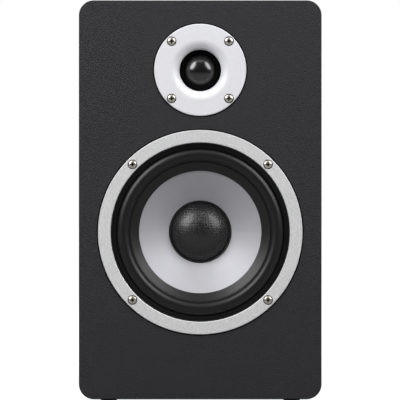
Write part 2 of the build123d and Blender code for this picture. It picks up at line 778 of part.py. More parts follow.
def tweeter_magnet():
    """Ferrite ring of the tweeter."""
    ring = pipe(DOME_MAGNET_BORE_R, DOME_MAGNET_R, DOME_TOP_BACK, DOME_MAGNET_BACK)
    return into_baffle(ring, TWEETER_Z)


def tweeter_back_plate():
    """Back plate and pole piece of the tweeter."""
    pole_r = DOME_FORMER_R - DOME_FORMER_T - DOME_AIR_GAP
    pole = disc(pole_r, DOME_TOP_FRONT + GLUE, DOME_MAGNET_BACK)
    back = disc(DOME_BACK_R, DOME_MAGNET_BACK, DOME_MAGNET_BACK + DOME_BACK_T)
    return into_baffle(pole + back, TWEETER_Z)


def tweeter_terminals():
    """Fibre strip on the back plate, with two push-on tags."""
    y = FACE_Y + DOME_MAGNET_BACK + DOME_BACK_T
    wide = TAG_SPREAD + TAG_W
    strip = block(-wide, wide, y, y + TAG_BOARD_T, TWEETER_Z - TAG_W, TWEETER_Z + TAG_W)
    tags = []
    for x in (-TAG_SPREAD, TAG_SPREAD):
        tip = y + TAG_BOARD_T + TAG_LENGTH
        z0, z1 = TWEETER_Z - TAG_T / 2, TWEETER_Z + TAG_T / 2
        tags.append(block(x - TAG_W / 2, x + TAG_W / 2, y + TAG_BOARD_T, tip, z0, z1))
    return solids_of(strip, *tags)


# ---- Bass port -------------------------------------------------------------------------
def port_hub_r():
    """Outside of the thick part of the port, which fills the hole in the panel."""
    return PORT_BORE_R + PORT_FLARE + PORT_WALL


def bass_port():
    """Moulded tube with a flange and a flared mouth; drawn back to front from its mouth."""
    bore, flare, wall_t = PORT_BORE_R, PORT_FLARE, PORT_WALL
    hub, tube = port_hub_r(), bore + wall_t
    end = PORT_FLANGE_T - PORT_LENGTH
    top = PORT_FLANGE_T
    lean = flare * math.sqrt(0.5)
    slope = -PORT_FLARE
    body = lathe(
        Line((bore, end), (bore, top - flare)),
        ThreePointArc(
            (bore, top - flare),
            (bore + flare - lean, top - flare + lean),
            (bore + flare, top),
        ),
        Polyline(
            (bore + flare, top),
            (PORT_FLANGE_R - 1.0, top),
            (PORT_FLANGE_R, top - 1.0),
            (PORT_FLANGE_R, 0),
            (hub, 0),
            (hub, slope / 2),
            (tube, slope - wall_t),
            (tube, end),
            (bore, end),
        ),
    )
    return out_of_back(body, 0, PORT_Z, REAR_Y)


# ---- Terminal cup ----------------------------------------------------------------------
def cup_screw_places():
    """Screw centres from the cup's middle."""
    x = CUP_FLANGE_W / 2 - CUP_SCREW_INSET
    z = CUP_FLANGE_H / 2 - CUP_SCREW_INSET
    return [(sx * x, sz * z) for sx in (-1, 1) for sz in (-1, 1)]


def post_places():
    """World x of the positive and the negative post."""
    return {"positive": -POST_PITCH / 2, "negative": POST_PITCH / 2}


def terminal_cup():
    """Dished plate: flange outside the panel, deep floor that carries the posts."""
    flange = extrude(RectangleRounded(CUP_FLANGE_W, CUP_FLANGE_H, CUP_CORNER_R), -CUP_FLANGE_T)
    dish = extrude(RectangleRounded(CUP_W, CUP_H, CUP_CORNER_R), -(CUP_DEPTH + CUP_FLOOR_T))
    hollow_r = CUP_CORNER_R - CUP_WALL
    wide, high = CUP_W - 2 * CUP_WALL, CUP_H - 2 * CUP_WALL
    hollow = extrude(RectangleRounded(wide, high, hollow_r), -CUP_DEPTH)
    cup = flange + dish - hollow
    for x, z in cup_screw_places():
        flare = CUP_SCREW_HEAD_R - CUP_SCREW_R
        sink = Pos(x, z, -flare / 2) * Cone(CUP_SCREW_R + SLIP, CUP_SCREW_HEAD_R + SLIP, flare)
        cup -= sink + Pos(x, z, 0) * disc(CUP_SCREW_R + SLIP, -CUP_FLANGE_T, 0)
    for x in post_places().values():
        cup -= Pos(x, 0, 0) * disc(STUD_R + SLIP, -CUP_DEPTH - CUP_FLOOR_T, -CUP_DEPTH)
    return out_of_back(cup, 0, CUP_Z, CUP_FACE_Y)


def terminal_seal():
    """Foam frame between the cup's flange and the panel."""
    frame = RectangleRounded(CUP_FLANGE_W - 2 * SLIP, CUP_FLANGE_H - 2 * SLIP, CUP_CORNER_R)
    frame -= RectangleRounded(CUP_W + 2 * SLIP, CUP_H + 2 * SLIP, CUP_CORNER_R + SLIP)
    seal = extrude(frame, CUP_SEAL_T)
    for x, z in cup_screw_places():
        seal -= Pos(x, z, 0) * disc(CUP_SCREW_R + SLIP, 0, CUP_SEAL_T)
    return out_of_back(seal, 0, CUP_Z, REAR_Y)


def terminal_screws():
    """Four countersunk screws with a cross recess."""
    flare = CUP_SCREW_HEAD_R - CUP_SCREW_R
    head = Pos(0, 0, -flare / 2) * Cone(CUP_SCREW_R, CUP_SCREW_HEAD_R, flare)
    for angle in (0, 90):
        slot = Box(1.6 * (CUP_SCREW_HEAD_R - SLOT_DEPTH), SLOT_W * 0.8, SLOT_DEPTH)
        head -= Pos(0, 0, -SLOT_DEPTH / 2) * Rot(0, 0, angle) * slot
    end = -CUP_SCREW_LENGTH
    point = Pos(0, 0, end + POINT / 2) * Cone(CUP_SCREW_R * 0.2, CUP_SCREW_R, POINT)
    screw = head + disc(CUP_SCREW_R, end + POINT, -flare) + point
    return solids_of(*[out_of_back(screw, x, CUP_Z + z, CUP_FACE_Y) for x, z in cup_screw_places()])


def shoulder_top():
    """Height of the post's shoulder above the cup's floor."""
    return COLLAR_T + SHOULDER_T


def post(x):
    """Brass stud with a shoulder, a 4 mm socket in its end and a cross hole for bare wire."""
    stud = disc(STUD_R, -CUP_FLOOR_T - STUD_TAIL, STUD_REACH)
    stud += disc(SHOULDER_R, COLLAR_T, shoulder_top())
    stud -= disc(SOCKET_R, STUD_REACH - SOCKET_DEPTH, STUD_REACH)
    hole = Rot(90, 0, 0) * Cylinder(WIRE_HOLE_R, 4 * STUD_R)
    stud -= Pos(0, 0, shoulder_top() + WIRE_HOLE_RISE) * hole
    return out_of_back(stud, x, CUP_Z, CUP_FLOOR_Y)


def collar(x):
    """Coloured insulating collar under the post's shoulder."""
    ring = pipe(STUD_R + SLIP, COLLAR_R, 0, COLLAR_T)
    ring = chamfer(ring.edges().sort_by(Axis.Z)[-1], 0.6)
    return out_of_back(ring, x, CUP_Z, CUP_FLOOR_Y)


def presser(x):
    """Loose washer that rides under the knob and clamps the wire."""
    start = shoulder_top() + RUNNING
    ring = pipe(STUD_R + THREAD_CLEARANCE, PRESSER_R, start, start + PRESSER_T)
    return out_of_back(ring, x, CUP_Z, CUP_FLOOR_Y)


def knob(x):
    """Fluted thumb nut, bored right through so that a plug reaches the socket."""
    start = shoulder_top() + PRESSER_T + 2 * RUNNING
    end = start + KNOB_LENGTH
    body = disc(KNOB_R, start, end)
    body = chamfer(body.edges().filter_by(GeomType.CIRCLE), 0.8)
    body -= disc(STUD_R + THREAD_CLEARANCE, start, end)
    for place in on_circle(KNOB_R, KNOB_FLUTES, 0.0):
        body -= place * disc(KNOB_FLUTE_R, start + 3.0, end)
    return out_of_back(body, x, CUP_Z, CUP_FLOOR_Y)


def solder_tags():
    """Ring tags under the nuts, each with a tail that a wire is soldered to."""
    tags = []
    front = -CUP_FLOOR_T - TAG_RING_T
    for x in post_places().values():
        tag = disc(TAG_RING_R, front, -CUP_FLOOR_T)
        tag += Pos(0, TAG_TAIL / 2, front + TAG_RING_T / 2) * Box(TAG_W, TAG_TAIL, TAG_RING_T)
        tag -= disc(STUD_R + THREAD_CLEARANCE, front, -CUP_FLOOR_T)
        tags.append(out_of_back(tag, x, CUP_Z, CUP_FLOOR_Y))
    return solids_of(*tags)


def post_nuts():
    """Hexagon nuts that hold the posts from inside."""
    front = -CUP_FLOOR_T - TAG_RING_T - NUT_T
    nut = Pos(0, 0, front) * extrude(RegularPolygon(NUT_R, 6), NUT_T)
    nut -= disc(STUD_R + THREAD_CLEARANCE, front, front + NUT_T)
    return solids_of(*[out_of_back(nut, x, CUP_Z, CUP_FLOOR_Y) for x in post_places().values()])


# ---- Filter board ----------------------------------------------------------------------
def board_hole_places():
    """Centres of the board's four fixing holes."""
    x, y = BOARD_W / 2 - BOARD_HOLE_INSET, BOARD_L / 2 - BOARD_HOLE_INSET
    return [(sx * x, BOARD_Y + sy * y) for sx in (-1, 1) for sy in (-1, 1)]


def blade_places():
    """World (x, y) of each push-on blade, as (positive, negative) for each pair."""
    edge = BOARD_W / 2 - 5.0
    front, rear = BOARD_Y - BOARD_L / 2 + 12.0, BOARD_Y + BOARD_L / 2 - 5.0
    return {
        "tweeter": ((-edge, front), (-edge + 8.0, front)),
        "woofer": ((edge, front), (edge - 8.0, front)),
        "input": ((-4.0, rear), (4.0, rear)),
    }


def crossover_board():
    """Fibreglass board with its fixing holes."""
    y0, y1 = BOARD_Y - BOARD_L / 2, BOARD_Y + BOARD_L / 2
    board = block(-BOARD_W / 2, BOARD_W / 2, y0, y1, BOARD_TOP - BOARD_T, BOARD_TOP)
    for x, y in board_hole_places():
        board -= Pos(x, y, 0) * disc(BOARD_SCREW_R + SLIP, FLOOR_Z, BOARD_TOP)
    return board


def board_spacers():
    """Four tubes that hold the board off the cabinet's floor."""
    spacer = pipe(BOARD_SCREW_R + SLIP, SPACER_R, FLOOR_Z, BOARD_TOP - BOARD_T)
    return solids_of(*[Pos(x, y, 0) * spacer for x, y in board_hole_places()])


def board_screws():
    """Four screws through the board and its spacers into the bottom panel."""
    head = disc(BOARD_SCREW_HEAD_R, BOARD_TOP, BOARD_TOP + BOARD_SCREW_HEAD_H)
    head = fillet(head.edges().sort_by(Axis.Z)[-1], BOARD_SCREW_HEAD_H / 2)
    screw = head + disc(BOARD_SCREW_R, FLOOR_Z - BOARD_SCREW_BITE, BOARD_TOP)
    return solids_of(*[Pos(x, y, 0) * screw for x, y in board_hole_places()])


def bottom_panel():
    """The sleeve's lower wall, with pilot holes for the board's screws."""
    panel = wall("bottom")
    for x, y in board_hole_places():
        panel -= Pos(x, y, 0) * disc(BOARD_SCREW_R + GLUE, FLOOR_Z - BOARD_SCREW_BITE - 1, FLOOR_Z)
    return panel


def board_blades():
    """Six push-on blades along the board's edges."""
    blades = []
    for pair in blade_places().values():
        for x, y in pair:
            x0, x1, y0, y1 = x - BLADE_W / 2, x + BLADE_W / 2, y - BLADE_T / 2, y + BLADE_T / 2
            blades.append(block(x0, x1, y0, y1, BOARD_TOP, BOARD_TOP + BLADE_H))
    return solids_of(*blades)


def bobbin(radius, core, height):
    """Flanged spool about local Z, standing on 0."""
    spool = pipe(core - BOBBIN_T, radius, 0, height)
    return spool - pipe(core, radius, BOBBIN_T, height - BOBBIN_T)


def winding(radius, core, height):
    """The copper on a spool, a little under its flanges."""
    return pipe(core + GLUE, radius - 1.0, BOBBIN_T + GLUE, height - BOBBIN_T - GLUE)


def coil_places():
    """Where the two coils stand: the big one upright, the small one on its edge."""
    upright = Pos(-BOARD_W / 4, BOARD_Y + 12.0, BOARD_TOP)
    lying = Pos(BOARD_W / 4, BOARD_Y + 20.0 + SMALL_COIL_H / 2, BOARD_TOP + SMALL_COIL_R)
    return upright, lying * Rot(90, 0, 0)


def inductor_bobbins():
    """Spools of the woofer's and the tweeter's coils."""
    big, small = coil_places()
    return solids_of(
        big * bobbin(BIG_COIL_R, BIG_COIL_CORE_R, BIG_COIL_H),
        small * bobbin(SMALL_COIL_R, SMALL_COIL_CORE_R, SMALL_COIL_H),
    )


def inductor_windings():
    """Copper of both coils."""
    big, small = coil_places()
    return solids_of(
        big * winding(BIG_COIL_R, BIG_COIL_CORE_R, BIG_COIL_H),
        small * winding(SMALL_COIL_R, SMALL_COIL_CORE_R, SMALL_COIL_H),
    )


def lying_can(radius, length, x, y):
    """A round part with softened ends, lying across the board."""
    can = Cylinder(radius, length)
    can = fillet(can.edges().filter_by(GeomType.CIRCLE), 1.0)
    return Pos(x, y, BOARD_TOP + GLUE + radius) * Rot(0, 90, 0) * can


def tweeter_capacitor():
    """Film capacitor in series with the tweeter."""
    return lying_can(FILM_CAP_R, FILM_CAP_L, 21.0, BOARD_Y - 26.0)


def woofer_capacitor():
    """Round capacitor across the woofer."""
    return lying_can(ROUND_CAP_R, ROUND_CAP_L, -20.0, BOARD_Y - 26.0)


def resistors():
    """Two cement resistors."""
    rows = [(LONG_RESISTOR_L, 24.0, BOARD_Y - 7.0), (SHORT_RESISTOR_L, 36.0, BOARD_Y + 8.0)]
    z0 = BOARD_TOP + GLUE
    half = RESISTOR_W / 2
    return solids_of(
        *[block(x - n / 2, x + n / 2, y - half, y + half, z0, z0 + RESISTOR_W) for n, x, y in rows]
    )


# ---- Wiring ----------------------------------------------------------------------------
def wire_routes(sign):
    """Centre lines of the three wires of one polarity: 0 for positive, 1 for negative."""
    top = BOARD_TOP + BLADE_H + GLUE
    blades = {name: pair[sign] for name, pair in blade_places().items()}
    step = PAIR_GAP * sign

    x, y = blades["input"]
    post_x = list(post_places().values())[sign]
    tag_y = CUP_FLOOR_Y - CUP_FLOOR_T - TAG_RING_T - GLUE
    tag_z = CUP_Z - TAG_TAIL + WIRE_R + 0.5
    feed = [
        (x, y, top),
        (x, y, top + 9.0),
        (x + (post_x - x) * 0.3, y + 7.0, top + 20.0),
        (post_x, tag_y - 20.0, tag_z - 4.0),
        (post_x, tag_y - 9.0, tag_z),
        (post_x, tag_y, tag_z),
    ]

    x, y = blades["woofer"]
    tag_x, tag_z, tag_depth = woofer_tag_place((1 - 2 * sign) * TAG_SPREAD)
    tip = FACE_Y + tag_depth + GLUE
    low = [
        (x, y, top),
        (x, y, top + 14.0),
        (x + 5.0 - step, y - 9.0, top + 34.0),
        (tag_x + 3.0 - step, tip + 26.0, tag_z - 32.0),
        (tag_x + 1.0, tip + 20.0, tag_z - 6.0),
        (tag_x, tip + 9.0, tag_z),
        (tag_x, tip, tag_z),
    ]

    x, y = blades["tweeter"]
    tag_x = (2 * sign - 1) * TAG_SPREAD
    tip = FACE_Y + DOME_MAGNET_BACK + DOME_BACK_T + TAG_BOARD_T + TAG_LENGTH + GLUE
    side = -(MAGNET_R + 9.0) + step
    high = [
        (x, y, top),
        (x, y, top + 16.0),
        (side - 2.0, y - 8.0, top + 45.0),
        (side, y - 15.0, top + 90.0),
        (side - 1.0, y - 17.0, WOOFER_Z + 40.0),
        (side + 6.0, y - 20.0, WOOFER_Z + 85.0),
        (side + 26.0, y - 24.0, TWEETER_Z - 12.0),
        (tag_x - 8.0, tip + 20.0, TWEETER_Z - 2.0),
        (tag_x, tip + 9.0, TWEETER_Z),
        (tag_x, tip, TWEETER_Z),
    ]
    return [feed, low, high]


def wires(sign):
    """The three wires of one polarity."""
    return solids_of(*[cord(route, WIRE_R) for route in wire_routes(sign)])


# ---- Wadding ---------------------------------------------------------------------------
def damping_wadding():
    """One folded blanket of polyester that lines the sides and the ceiling."""
    y0, y1 = FACE_Y + WADDING_START, REAR_INNER_Y - WADDING_REAR_GAP
    x, z0, z1 = INNER_X - SOFT_GAP, FLOOR_Z + SOFT_GAP, CEILING_Z - SOFT_GAP
    blanket = block(-x, x, y0, y1, z0, z1)
    hollow = block(-x + WADDING_T, x - WADDING_T, y0, y1, z0 - 1, z1 - WADDING_T)
    inner = (blanket - hollow).edges().filter_by(Axis.Y).group_by(Axis.Z)[-2]
    return fillet(inner, WADDING_T / 2)


# ---- Everything ------------------------------------------------------------------------
POSITIVE_X, NEGATIVE_X = post_places()["positive"], post_places()["negative"]

PIECES = {
    "front_baffle": front_baffle(),
    "rear_panel": rear_panel(),
    "left_panel": wall("left"),
    "right_panel": wall("right"),
    "top_panel": wall("top"),
    "bottom_panel": bottom_panel(),
    "rubber_feet": rubber_feet(),
    "woofer_trim_ring": woofer_trim_ring(),
    "woofer_gasket": woofer_gasket(),
    "woofer_seal": woofer_seal(),
    "woofer_basket": woofer_basket(),
    "woofer_surround": woofer_surround(),
    "woofer_cone": woofer_cone(),
    "woofer_dust_cap": woofer_dust_cap(),
    "woofer_coil_former": woofer_coil_former(),
    "woofer_voice_coil": woofer_voice_coil(),
    "woofer_spider": woofer_spider(),
    "woofer_top_plate": woofer_top_plate(),
    "woofer_magnet": woofer_magnet(),
    "woofer_back_plate": woofer_back_plate(),
    "woofer_terminals": woofer_terminals(),
    "woofer_leads": woofer_leads(),
    "woofer_screws": driver_screws(RING_SCREW_R, -RING_PROUD, WOOFER_Z),
    "tweeter_faceplate": tweeter_faceplate(),
    "tweeter_seal": tweeter_seal(),
    "tweeter_dome": tweeter_dome(),
    "tweeter_surround": tweeter_surround(),
    "tweeter_coil_former": tweeter_coil_former(),
    "tweeter_voice_coil": tweeter_voice_coil(),
    "tweeter_top_plate": tweeter_top_plate(),
    "tweeter_magnet": tweeter_magnet(),
    "tweeter_back_plate": tweeter_back_plate(),
    "tweeter_terminals": tweeter_terminals(),
    "tweeter_screws": driver_screws(PLATE_SCREW_R, -PLATE_PROUD, TWEETER_Z),
    "bass_port": bass_port(),
    "terminal_cup": terminal_cup(),
    "terminal_seal": terminal_seal(),
    "terminal_screws": terminal_screws(),
    "positive_post": post(POSITIVE_X),
    "negative_post": post(NEGATIVE_X),
    "positive_collar": collar(POSITIVE_X),
    "negative_collar": collar(NEGATIVE_X),
    "positive_washer": presser(POSITIVE_X),
    "negative_washer": presser(NEGATIVE_X),
    "positive_knob": knob(POSITIVE_X),
    "negative_knob": knob(NEGATIVE_X),
    "solder_tags": solder_tags(),
    "post_nuts": post_nuts(),
    "crossover_board": crossover_board(),
    "board_spacers": board_spacers(),
    "board_screws": board_screws(),
    "board_blades": board_blades(),
    "inductor_bobbins": inductor_bobbins(),
    "inductor_windings": inductor_windings(),
    "tweeter_capacitor": tweeter_capacitor(),
    "woofer_capacitor": woofer_capacitor(),
    "resistors": resistors(),
    "positive_wires": wires(0),
    "negative_wires": wires(1),
    "damping_wadding": damping_wadding(),
}

os.makedirs("parts", exist_ok=True)
for name, piece in PIECES.items():
    export_step(piece, f"parts/{name}.step")
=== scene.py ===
"""Two-way bookshelf loudspeaker: soft parts, small parts and finishes around its solid frame."""

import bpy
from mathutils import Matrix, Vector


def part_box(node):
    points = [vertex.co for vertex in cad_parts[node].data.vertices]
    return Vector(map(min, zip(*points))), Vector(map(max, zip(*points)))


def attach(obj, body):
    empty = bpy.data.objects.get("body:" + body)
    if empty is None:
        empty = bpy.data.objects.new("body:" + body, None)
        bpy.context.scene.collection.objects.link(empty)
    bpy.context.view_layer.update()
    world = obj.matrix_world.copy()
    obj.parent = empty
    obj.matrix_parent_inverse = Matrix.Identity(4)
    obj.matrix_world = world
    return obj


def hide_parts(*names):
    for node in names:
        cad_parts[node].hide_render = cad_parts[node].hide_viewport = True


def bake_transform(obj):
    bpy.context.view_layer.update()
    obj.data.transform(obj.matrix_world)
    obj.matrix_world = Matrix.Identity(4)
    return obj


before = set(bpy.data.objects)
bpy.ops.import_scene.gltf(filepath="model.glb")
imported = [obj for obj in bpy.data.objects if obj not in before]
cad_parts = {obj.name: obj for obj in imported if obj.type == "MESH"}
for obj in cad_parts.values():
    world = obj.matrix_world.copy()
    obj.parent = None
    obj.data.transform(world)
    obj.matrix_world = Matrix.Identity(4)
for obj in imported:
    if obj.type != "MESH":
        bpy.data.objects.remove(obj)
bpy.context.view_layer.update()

import logging
import math
from dataclasses import dataclass
from enum import Enum
from typing import Callable, Iterable, Sequence

import bpy
from mathutils import Vector

LOG = logging.getLogger("speaker")

Colour = tuple[float, ...]
Outline = Sequence[tuple[float, float]]
Share = Callable[[Vector], float]
Piece = bpy.types.Object
Tree = bpy.types.NodeTree
Node = bpy.types.Node
Socket = bpy.types.NodeSocket
MM = 0.001
CABINET = "cabinet"
WOOFER_BODY = "woofer_moving"
TWEETER_BODY = "tweeter_moving"
CAPACITORS = ("tweeter_capacitor", "woofer_capacitor")
SHARP_EDGE = math.radians(35)
WIRE_ORDER = 3
WIRE_STEPS = 8
WIRE_ROUNDNESS = 4
CHAIN_GAP = 1e-7
WELD_GAP = 1e-6


def middle(node: str) -> Vector:
    """The centre of a solid's box."""
    low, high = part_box(node)
    return (low + high) / 2


# ---- Modelling ----


class Bench:
    """The hand tools that shape every new piece."""

    @staticmethod
    def clear() -> None:
        """Leave edit mode and let go of everything."""
        if bpy.context.object is not None and bpy.context.object.mode != "OBJECT":
            bpy.ops.object.mode_set(mode="OBJECT")
        bpy.ops.object.select_all(action="DESELECT")

    @staticmethod
    def pick(piece: Piece) -> None:
        """Make one piece the only one held."""
        Bench.clear()
        piece.select_set(True)
        bpy.context.view_layer.objects.active = piece

    @staticmethod
    def take(name: str) -> Piece:
        """Name the piece that was just added."""
        piece = bpy.context.object
        piece.name = piece.data.name = name
        return piece

    @staticmethod
    def edit() -> None:
        """Go into edit mode with everything selected."""
        bpy.ops.object.mode_set(mode="EDIT")
        bpy.ops.mesh.select_all(action="SELECT")

    @staticmethod
    def weld(gap: float) -> None:
        """Merge points that meet within a gap, and turn every face outward."""
        bpy.ops.mesh.select_all(action="SELECT")
        bpy.ops.mesh.remove_doubles(threshold=gap)
        bpy.ops.mesh.normals_make_consistent(inside=False)

    @staticmethod
    def draw_out(way: Vector) -> None:
        """Extrude what is selected."""
        bpy.ops.mesh.extrude_region_move(TRANSFORM_OT_translate={"value": way})

    @staticmethod
    def modify(piece: Piece, kind: str, **settings: object) -> None:
        """Add one modifier to a piece and apply it."""
        Bench.pick(piece)
        modifier = piece.modifiers.new(kind.lower(), kind)
        for name, value in settings.items():
            setattr(modifier, name, value)
        bpy.ops.object.modifier_apply(modifier=modifier.name)

    @staticmethod
    def finish(piece: Piece, angle: float = 40.0) -> Piece:
        """Back to object mode, smooth across edges flatter than angle."""
        Bench.pick(piece)
        bpy.ops.object.shade_smooth_by_angle(angle=math.radians(angle))
        return piece

    @staticmethod
    def chain(name: str, points: Iterable[Vector], closed: bool = False) -> Piece:
        """Extrude one vertex along points.

        Args:
            name: The new piece's name.
            points: Where the chain goes, in metres.
            closed: Whether the last point meets the first.

        Returns:
            The piece, in edit mode with all of it selected.
        """
        stops = [Vector(p) for p in points]
        Bench.clear()
        bpy.ops.mesh.primitive_plane_add(size=MM, location=(0, 0, 0))
        piece = Bench.take(name)
        bpy.ops.object.mode_set(mode="EDIT")
        bpy.ops.mesh.select_mode(type="VERT")
        bpy.ops.mesh.select_all(action="SELECT")
        bpy.ops.mesh.merge(type="CENTER")
        bpy.ops.transform.translate(value=stops[0])
        for here, there in zip(stops, stops[1:] + stops[:closed]):
            bpy.ops.mesh.extrude_vertices_move(TRANSFORM_OT_translate={"value": there - here})
        bpy.ops.mesh.select_all(action="SELECT")
        bpy.ops.mesh.remove_doubles(threshold=CHAIN_GAP)
        return piece

    @staticmethod
    def turn(name: str, outline: Outline, centre: Vector, steps: int = 96) -> Piece:
        """Turn a closed outline about a driver's axis.

        Args:
            name: The new piece's name.
            outline: Points of (radius, depth), in metres, once round the section, or from axis to axis.
            centre: The point on the axis that depths are counted from.
            steps: How many faces go round.

        Returns:
            The closed, smoothly shaded piece.
        """
        points = [centre + Vector((radius, depth, 0)) for radius, depth in outline]
        touches_axis = outline[0][0] == 0 and outline[-1][0] == 0
        piece = Bench.chain(name, points, closed=not touches_axis)
        bpy.ops.mesh.spin(steps=steps, angle=2 * math.pi, center=centre, axis=(0, 1, 0))
        Bench.weld(WELD_GAP)
        return Bench.finish(piece)

    @staticmethod
    def block(name: str, low: Vector, high: Vector) -> Piece:
        """A cube drawn out between two corners."""
        Bench.clear()
        bpy.ops.mesh.primitive_cube_add(size=1, location=(low + high) / 2)
        piece = Bench.take(name)
        piece.scale = high - low
        bpy.ops.object.transform_apply(location=True, rotation=True, scale=True)
        return piece

    @staticmethod
    def soften(piece: Piece, edge: float, segments: int = 2) -> Piece:
        """Round a piece's sharp edges with an applied bevel."""
        Bench.modify(
            piece, "BEVEL", width=edge, segments=segments, limit_method="ANGLE", angle_limit=SHARP_EDGE
        )
        return Bench.finish(piece)

    @staticmethod
    def wire(name: str, points: Iterable[Vector], radius: float) -> Piece:
        """A round wire along a smooth curve through given control points.

        Args:
            name: The new piece's name.
            points: The curve's control points.
            radius: The wire's radius.

        Returns:
            The closed tube as a mesh.
        """
        Bench.chain(name, points)
        bpy.ops.object.mode_set(mode="OBJECT")
        bpy.ops.object.convert(target="CURVE")
        curve = bpy.context.object.data
        spline = curve.splines[0]
        spline.type = "NURBS"
        spline.order_u = WIRE_ORDER
        spline.use_endpoint_u = True
        spline.resolution_u = WIRE_STEPS
        curve.bevel_depth = radius
        curve.bevel_resolution = WIRE_ROUNDNESS
        curve.use_fill_caps = True
        bpy.ops.object.convert(target="MESH")
        piece = Bench.take(name)
        Bench.edit()
        Bench.weld(CHAIN_GAP)
        return Bench.finish(piece)

    @staticmethod
    def faces(piece: Piece, test: Callable[[bpy.types.MeshPolygon], bool]) -> None:
        """Go into edit mode with only the faces that pass a test selected."""
        Bench.pick(piece)
        bpy.ops.object.mode_set(mode="EDIT")
        bpy.ops.mesh.select_mode(type="FACE")
        bpy.ops.mesh.select_all(action="DESELECT")
        bpy.ops.object.mode_set(mode="OBJECT")
        for face in piece.data.polygons:
            face.select = test(face)
        bpy.ops.object.mode_set(mode="EDIT")

    @staticmethod
    def join(name: str, pieces: Sequence[Piece]) -> Piece:
        """Join pieces of one kind into one."""
        Bench.clear()
        for piece in pieces:
            piece.select_set(True)
        bpy.context.view_layer.objects.active = pieces[0]
        bpy.ops.object.join()
        return Bench.take(name)


def arc(centre: tuple[float, float], radius: float, start: float, end: float, count: int) -> list:
    """Points along an arc of a section.

    Args:
        centre: The arc's centre, as (radius, depth).
        radius: The arc's radius.
        start: First angle in degrees; 0 points away from the axis, 90 into the cabinet.
        end: Last angle in degrees.
        count: How many points.

    Returns:
        The points, ends included.
    """
    turns = [math.radians(start + (end - start) * n / (count - 1)) for n in range(count)]
    return [(centre[0] + radius * math.cos(t), centre[1] + radius * math.sin(t)) for t in turns]


def bead(centre: tuple[float, float], radius: float, sides: int) -> list:
    """The round section of a bead."""
    return arc(centre, radius, 0, 360 - 360 / sides, sides)


def sheet(line: Outline, thickness: float) -> list:
    """The closed section of a sheet of one thickness whose middle follows a line."""
    sides: tuple[list, list] = ([], [])
    for n, (r, d) in enumerate(line):
        before, after = line[max(n - 1, 0)], line[min(n + 1, len(line) - 1)]
        along = Vector((after[0] - before[0], after[1] - before[1])).normalized()
        across = Vector((-along.y, along.x)) * thickness / 2
        sides[0].append((r + across.x, d + across.y))
        sides[1].append((r - across.x, d - across.y))
    return sides[0] + sides[1][::-1]


def flex(piece: Piece, share: Share) -> None:
    """Bake a soft piece's transform and reckon each point's smoothed share of a moving body's motion, 0 at the
    cabinet and 1 on the body; nothing uses the shares.

    Args:
        piece: The soft piece.
        share: Gives a point's share of that body's motion.
    """
    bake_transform(piece)
    shares = [min(max(share(vertex.co), 0.0), 1.0) for vertex in piece.data.vertices]
    smooth = [3 * s * s - 2 * s ** 3 for s in shares]


def radial(centre: Vector, fixed: float, moving: float) -> Share:
    """A share of motion that grows from a clamped radius to a moving one."""
    return lambda p: (fixed - math.hypot(p.x - centre.x, p.z - centre.z)) / (fixed - moving)


# ---- Shader wiring ----


@dataclass(frozen=True)
class Value:
    """A number in a shader tree: what is reckoned with it becomes math nodes."""

    wires: "Wires"
    socket: Socket

    def __add__(self, other: object) -> "Value":
        """The sum."""
        return self.wires.math("ADD", self, other)

    def __sub__(self, other: object) -> "Value":
        """The difference."""
        return self.wires.math("SUBTRACT", self, other)

    def __mul__(self, other: object) -> "Value":
        """The product."""
        return self.wires.math("MULTIPLY", self, other)


@dataclass(frozen=True)
class Wires:
    """Short words for making and joining the nodes of one shader tree."""

    tree: Tree

    def feed(self, node: Node, inputs: dict) -> None:
        """Link or set a node's inputs, by name or place."""
        for key, value in inputs.items():
            value = value.socket if isinstance(value, Value) else value
            if isinstance(value, Socket):
                self.tree.links.new(value, node.inputs[key])
            else:
                node.inputs[key].default_value = value

    def new(self, kind: str, inputs: dict | None = None, **settings: object) -> Node:
        """A shader node with its settings and inputs."""
        node = self.tree.nodes.new(f"ShaderNode{kind}")
        for name, value in settings.items():
            setattr(node, name, value)
        self.feed(node, inputs or {})
        return node

    def math(self, operation: str, *values: object) -> Value:
        """The result of a math node."""
        return Value(self, self.new("Math", dict(enumerate(values)), operation=operation).outputs[0])

    def length(self, one: Value, other: Value) -> Value:
        """The long side over two square ones."""
        return self.math("SQRT", one * one + other * other)

    def split(self, vector: object) -> tuple[Value, ...]:
        """X, Y and Z of a vector."""
        return tuple(Value(self, part) for part in self.new("SeparateXYZ", {0: vector}).outputs)

    def noise(self, at: object, scale: object, detail: float = 2.0, distortion: float = 0.0) -> Value:
        """A noise texture's value, from 0 to 1."""
        inputs = {"Vector": at, "Scale": scale, "Detail": detail, "Distortion": distortion}
        return Value(self, self.new("TexNoise", inputs).outputs[0])

    def ramp(self, value: object, ends: tuple[float, float], span: tuple[float, float] = (0.0, 1.0)) -> Value:
        """A value that runs between two ends as another crosses a span."""
        inputs = {"Value": value}
        inputs["From Min"], inputs["From Max"] = span
        inputs["To Min"], inputs["To Max"] = ends
        return Value(self, self.new("MapRange", inputs).outputs["Result"])

    def mix(self, mask: object, low: object, high: object) -> Socket:
        """Two colours, mixed by a mask."""
        return self.new("Mix", {"Factor": mask, 6: low, 7: high}, data_type="RGBA").outputs[2]

    def bump(self, height: object, relief: float) -> Socket:
        """The normal that a height gives at a relief in millimetres."""
        return self.new("Bump", {"Distance": relief * MM, "Strength": 1.0, "Height": height}).outputs["Normal"]


def new_material(name: str) -> tuple[bpy.types.Material, Wires, Node]:
    """A material, its wires and its shader."""
    made = bpy.data.materials.new(name)
    made.use_nodes = True
    return made, Wires(made.node_tree), made.node_tree.nodes["Principled BSDF"]


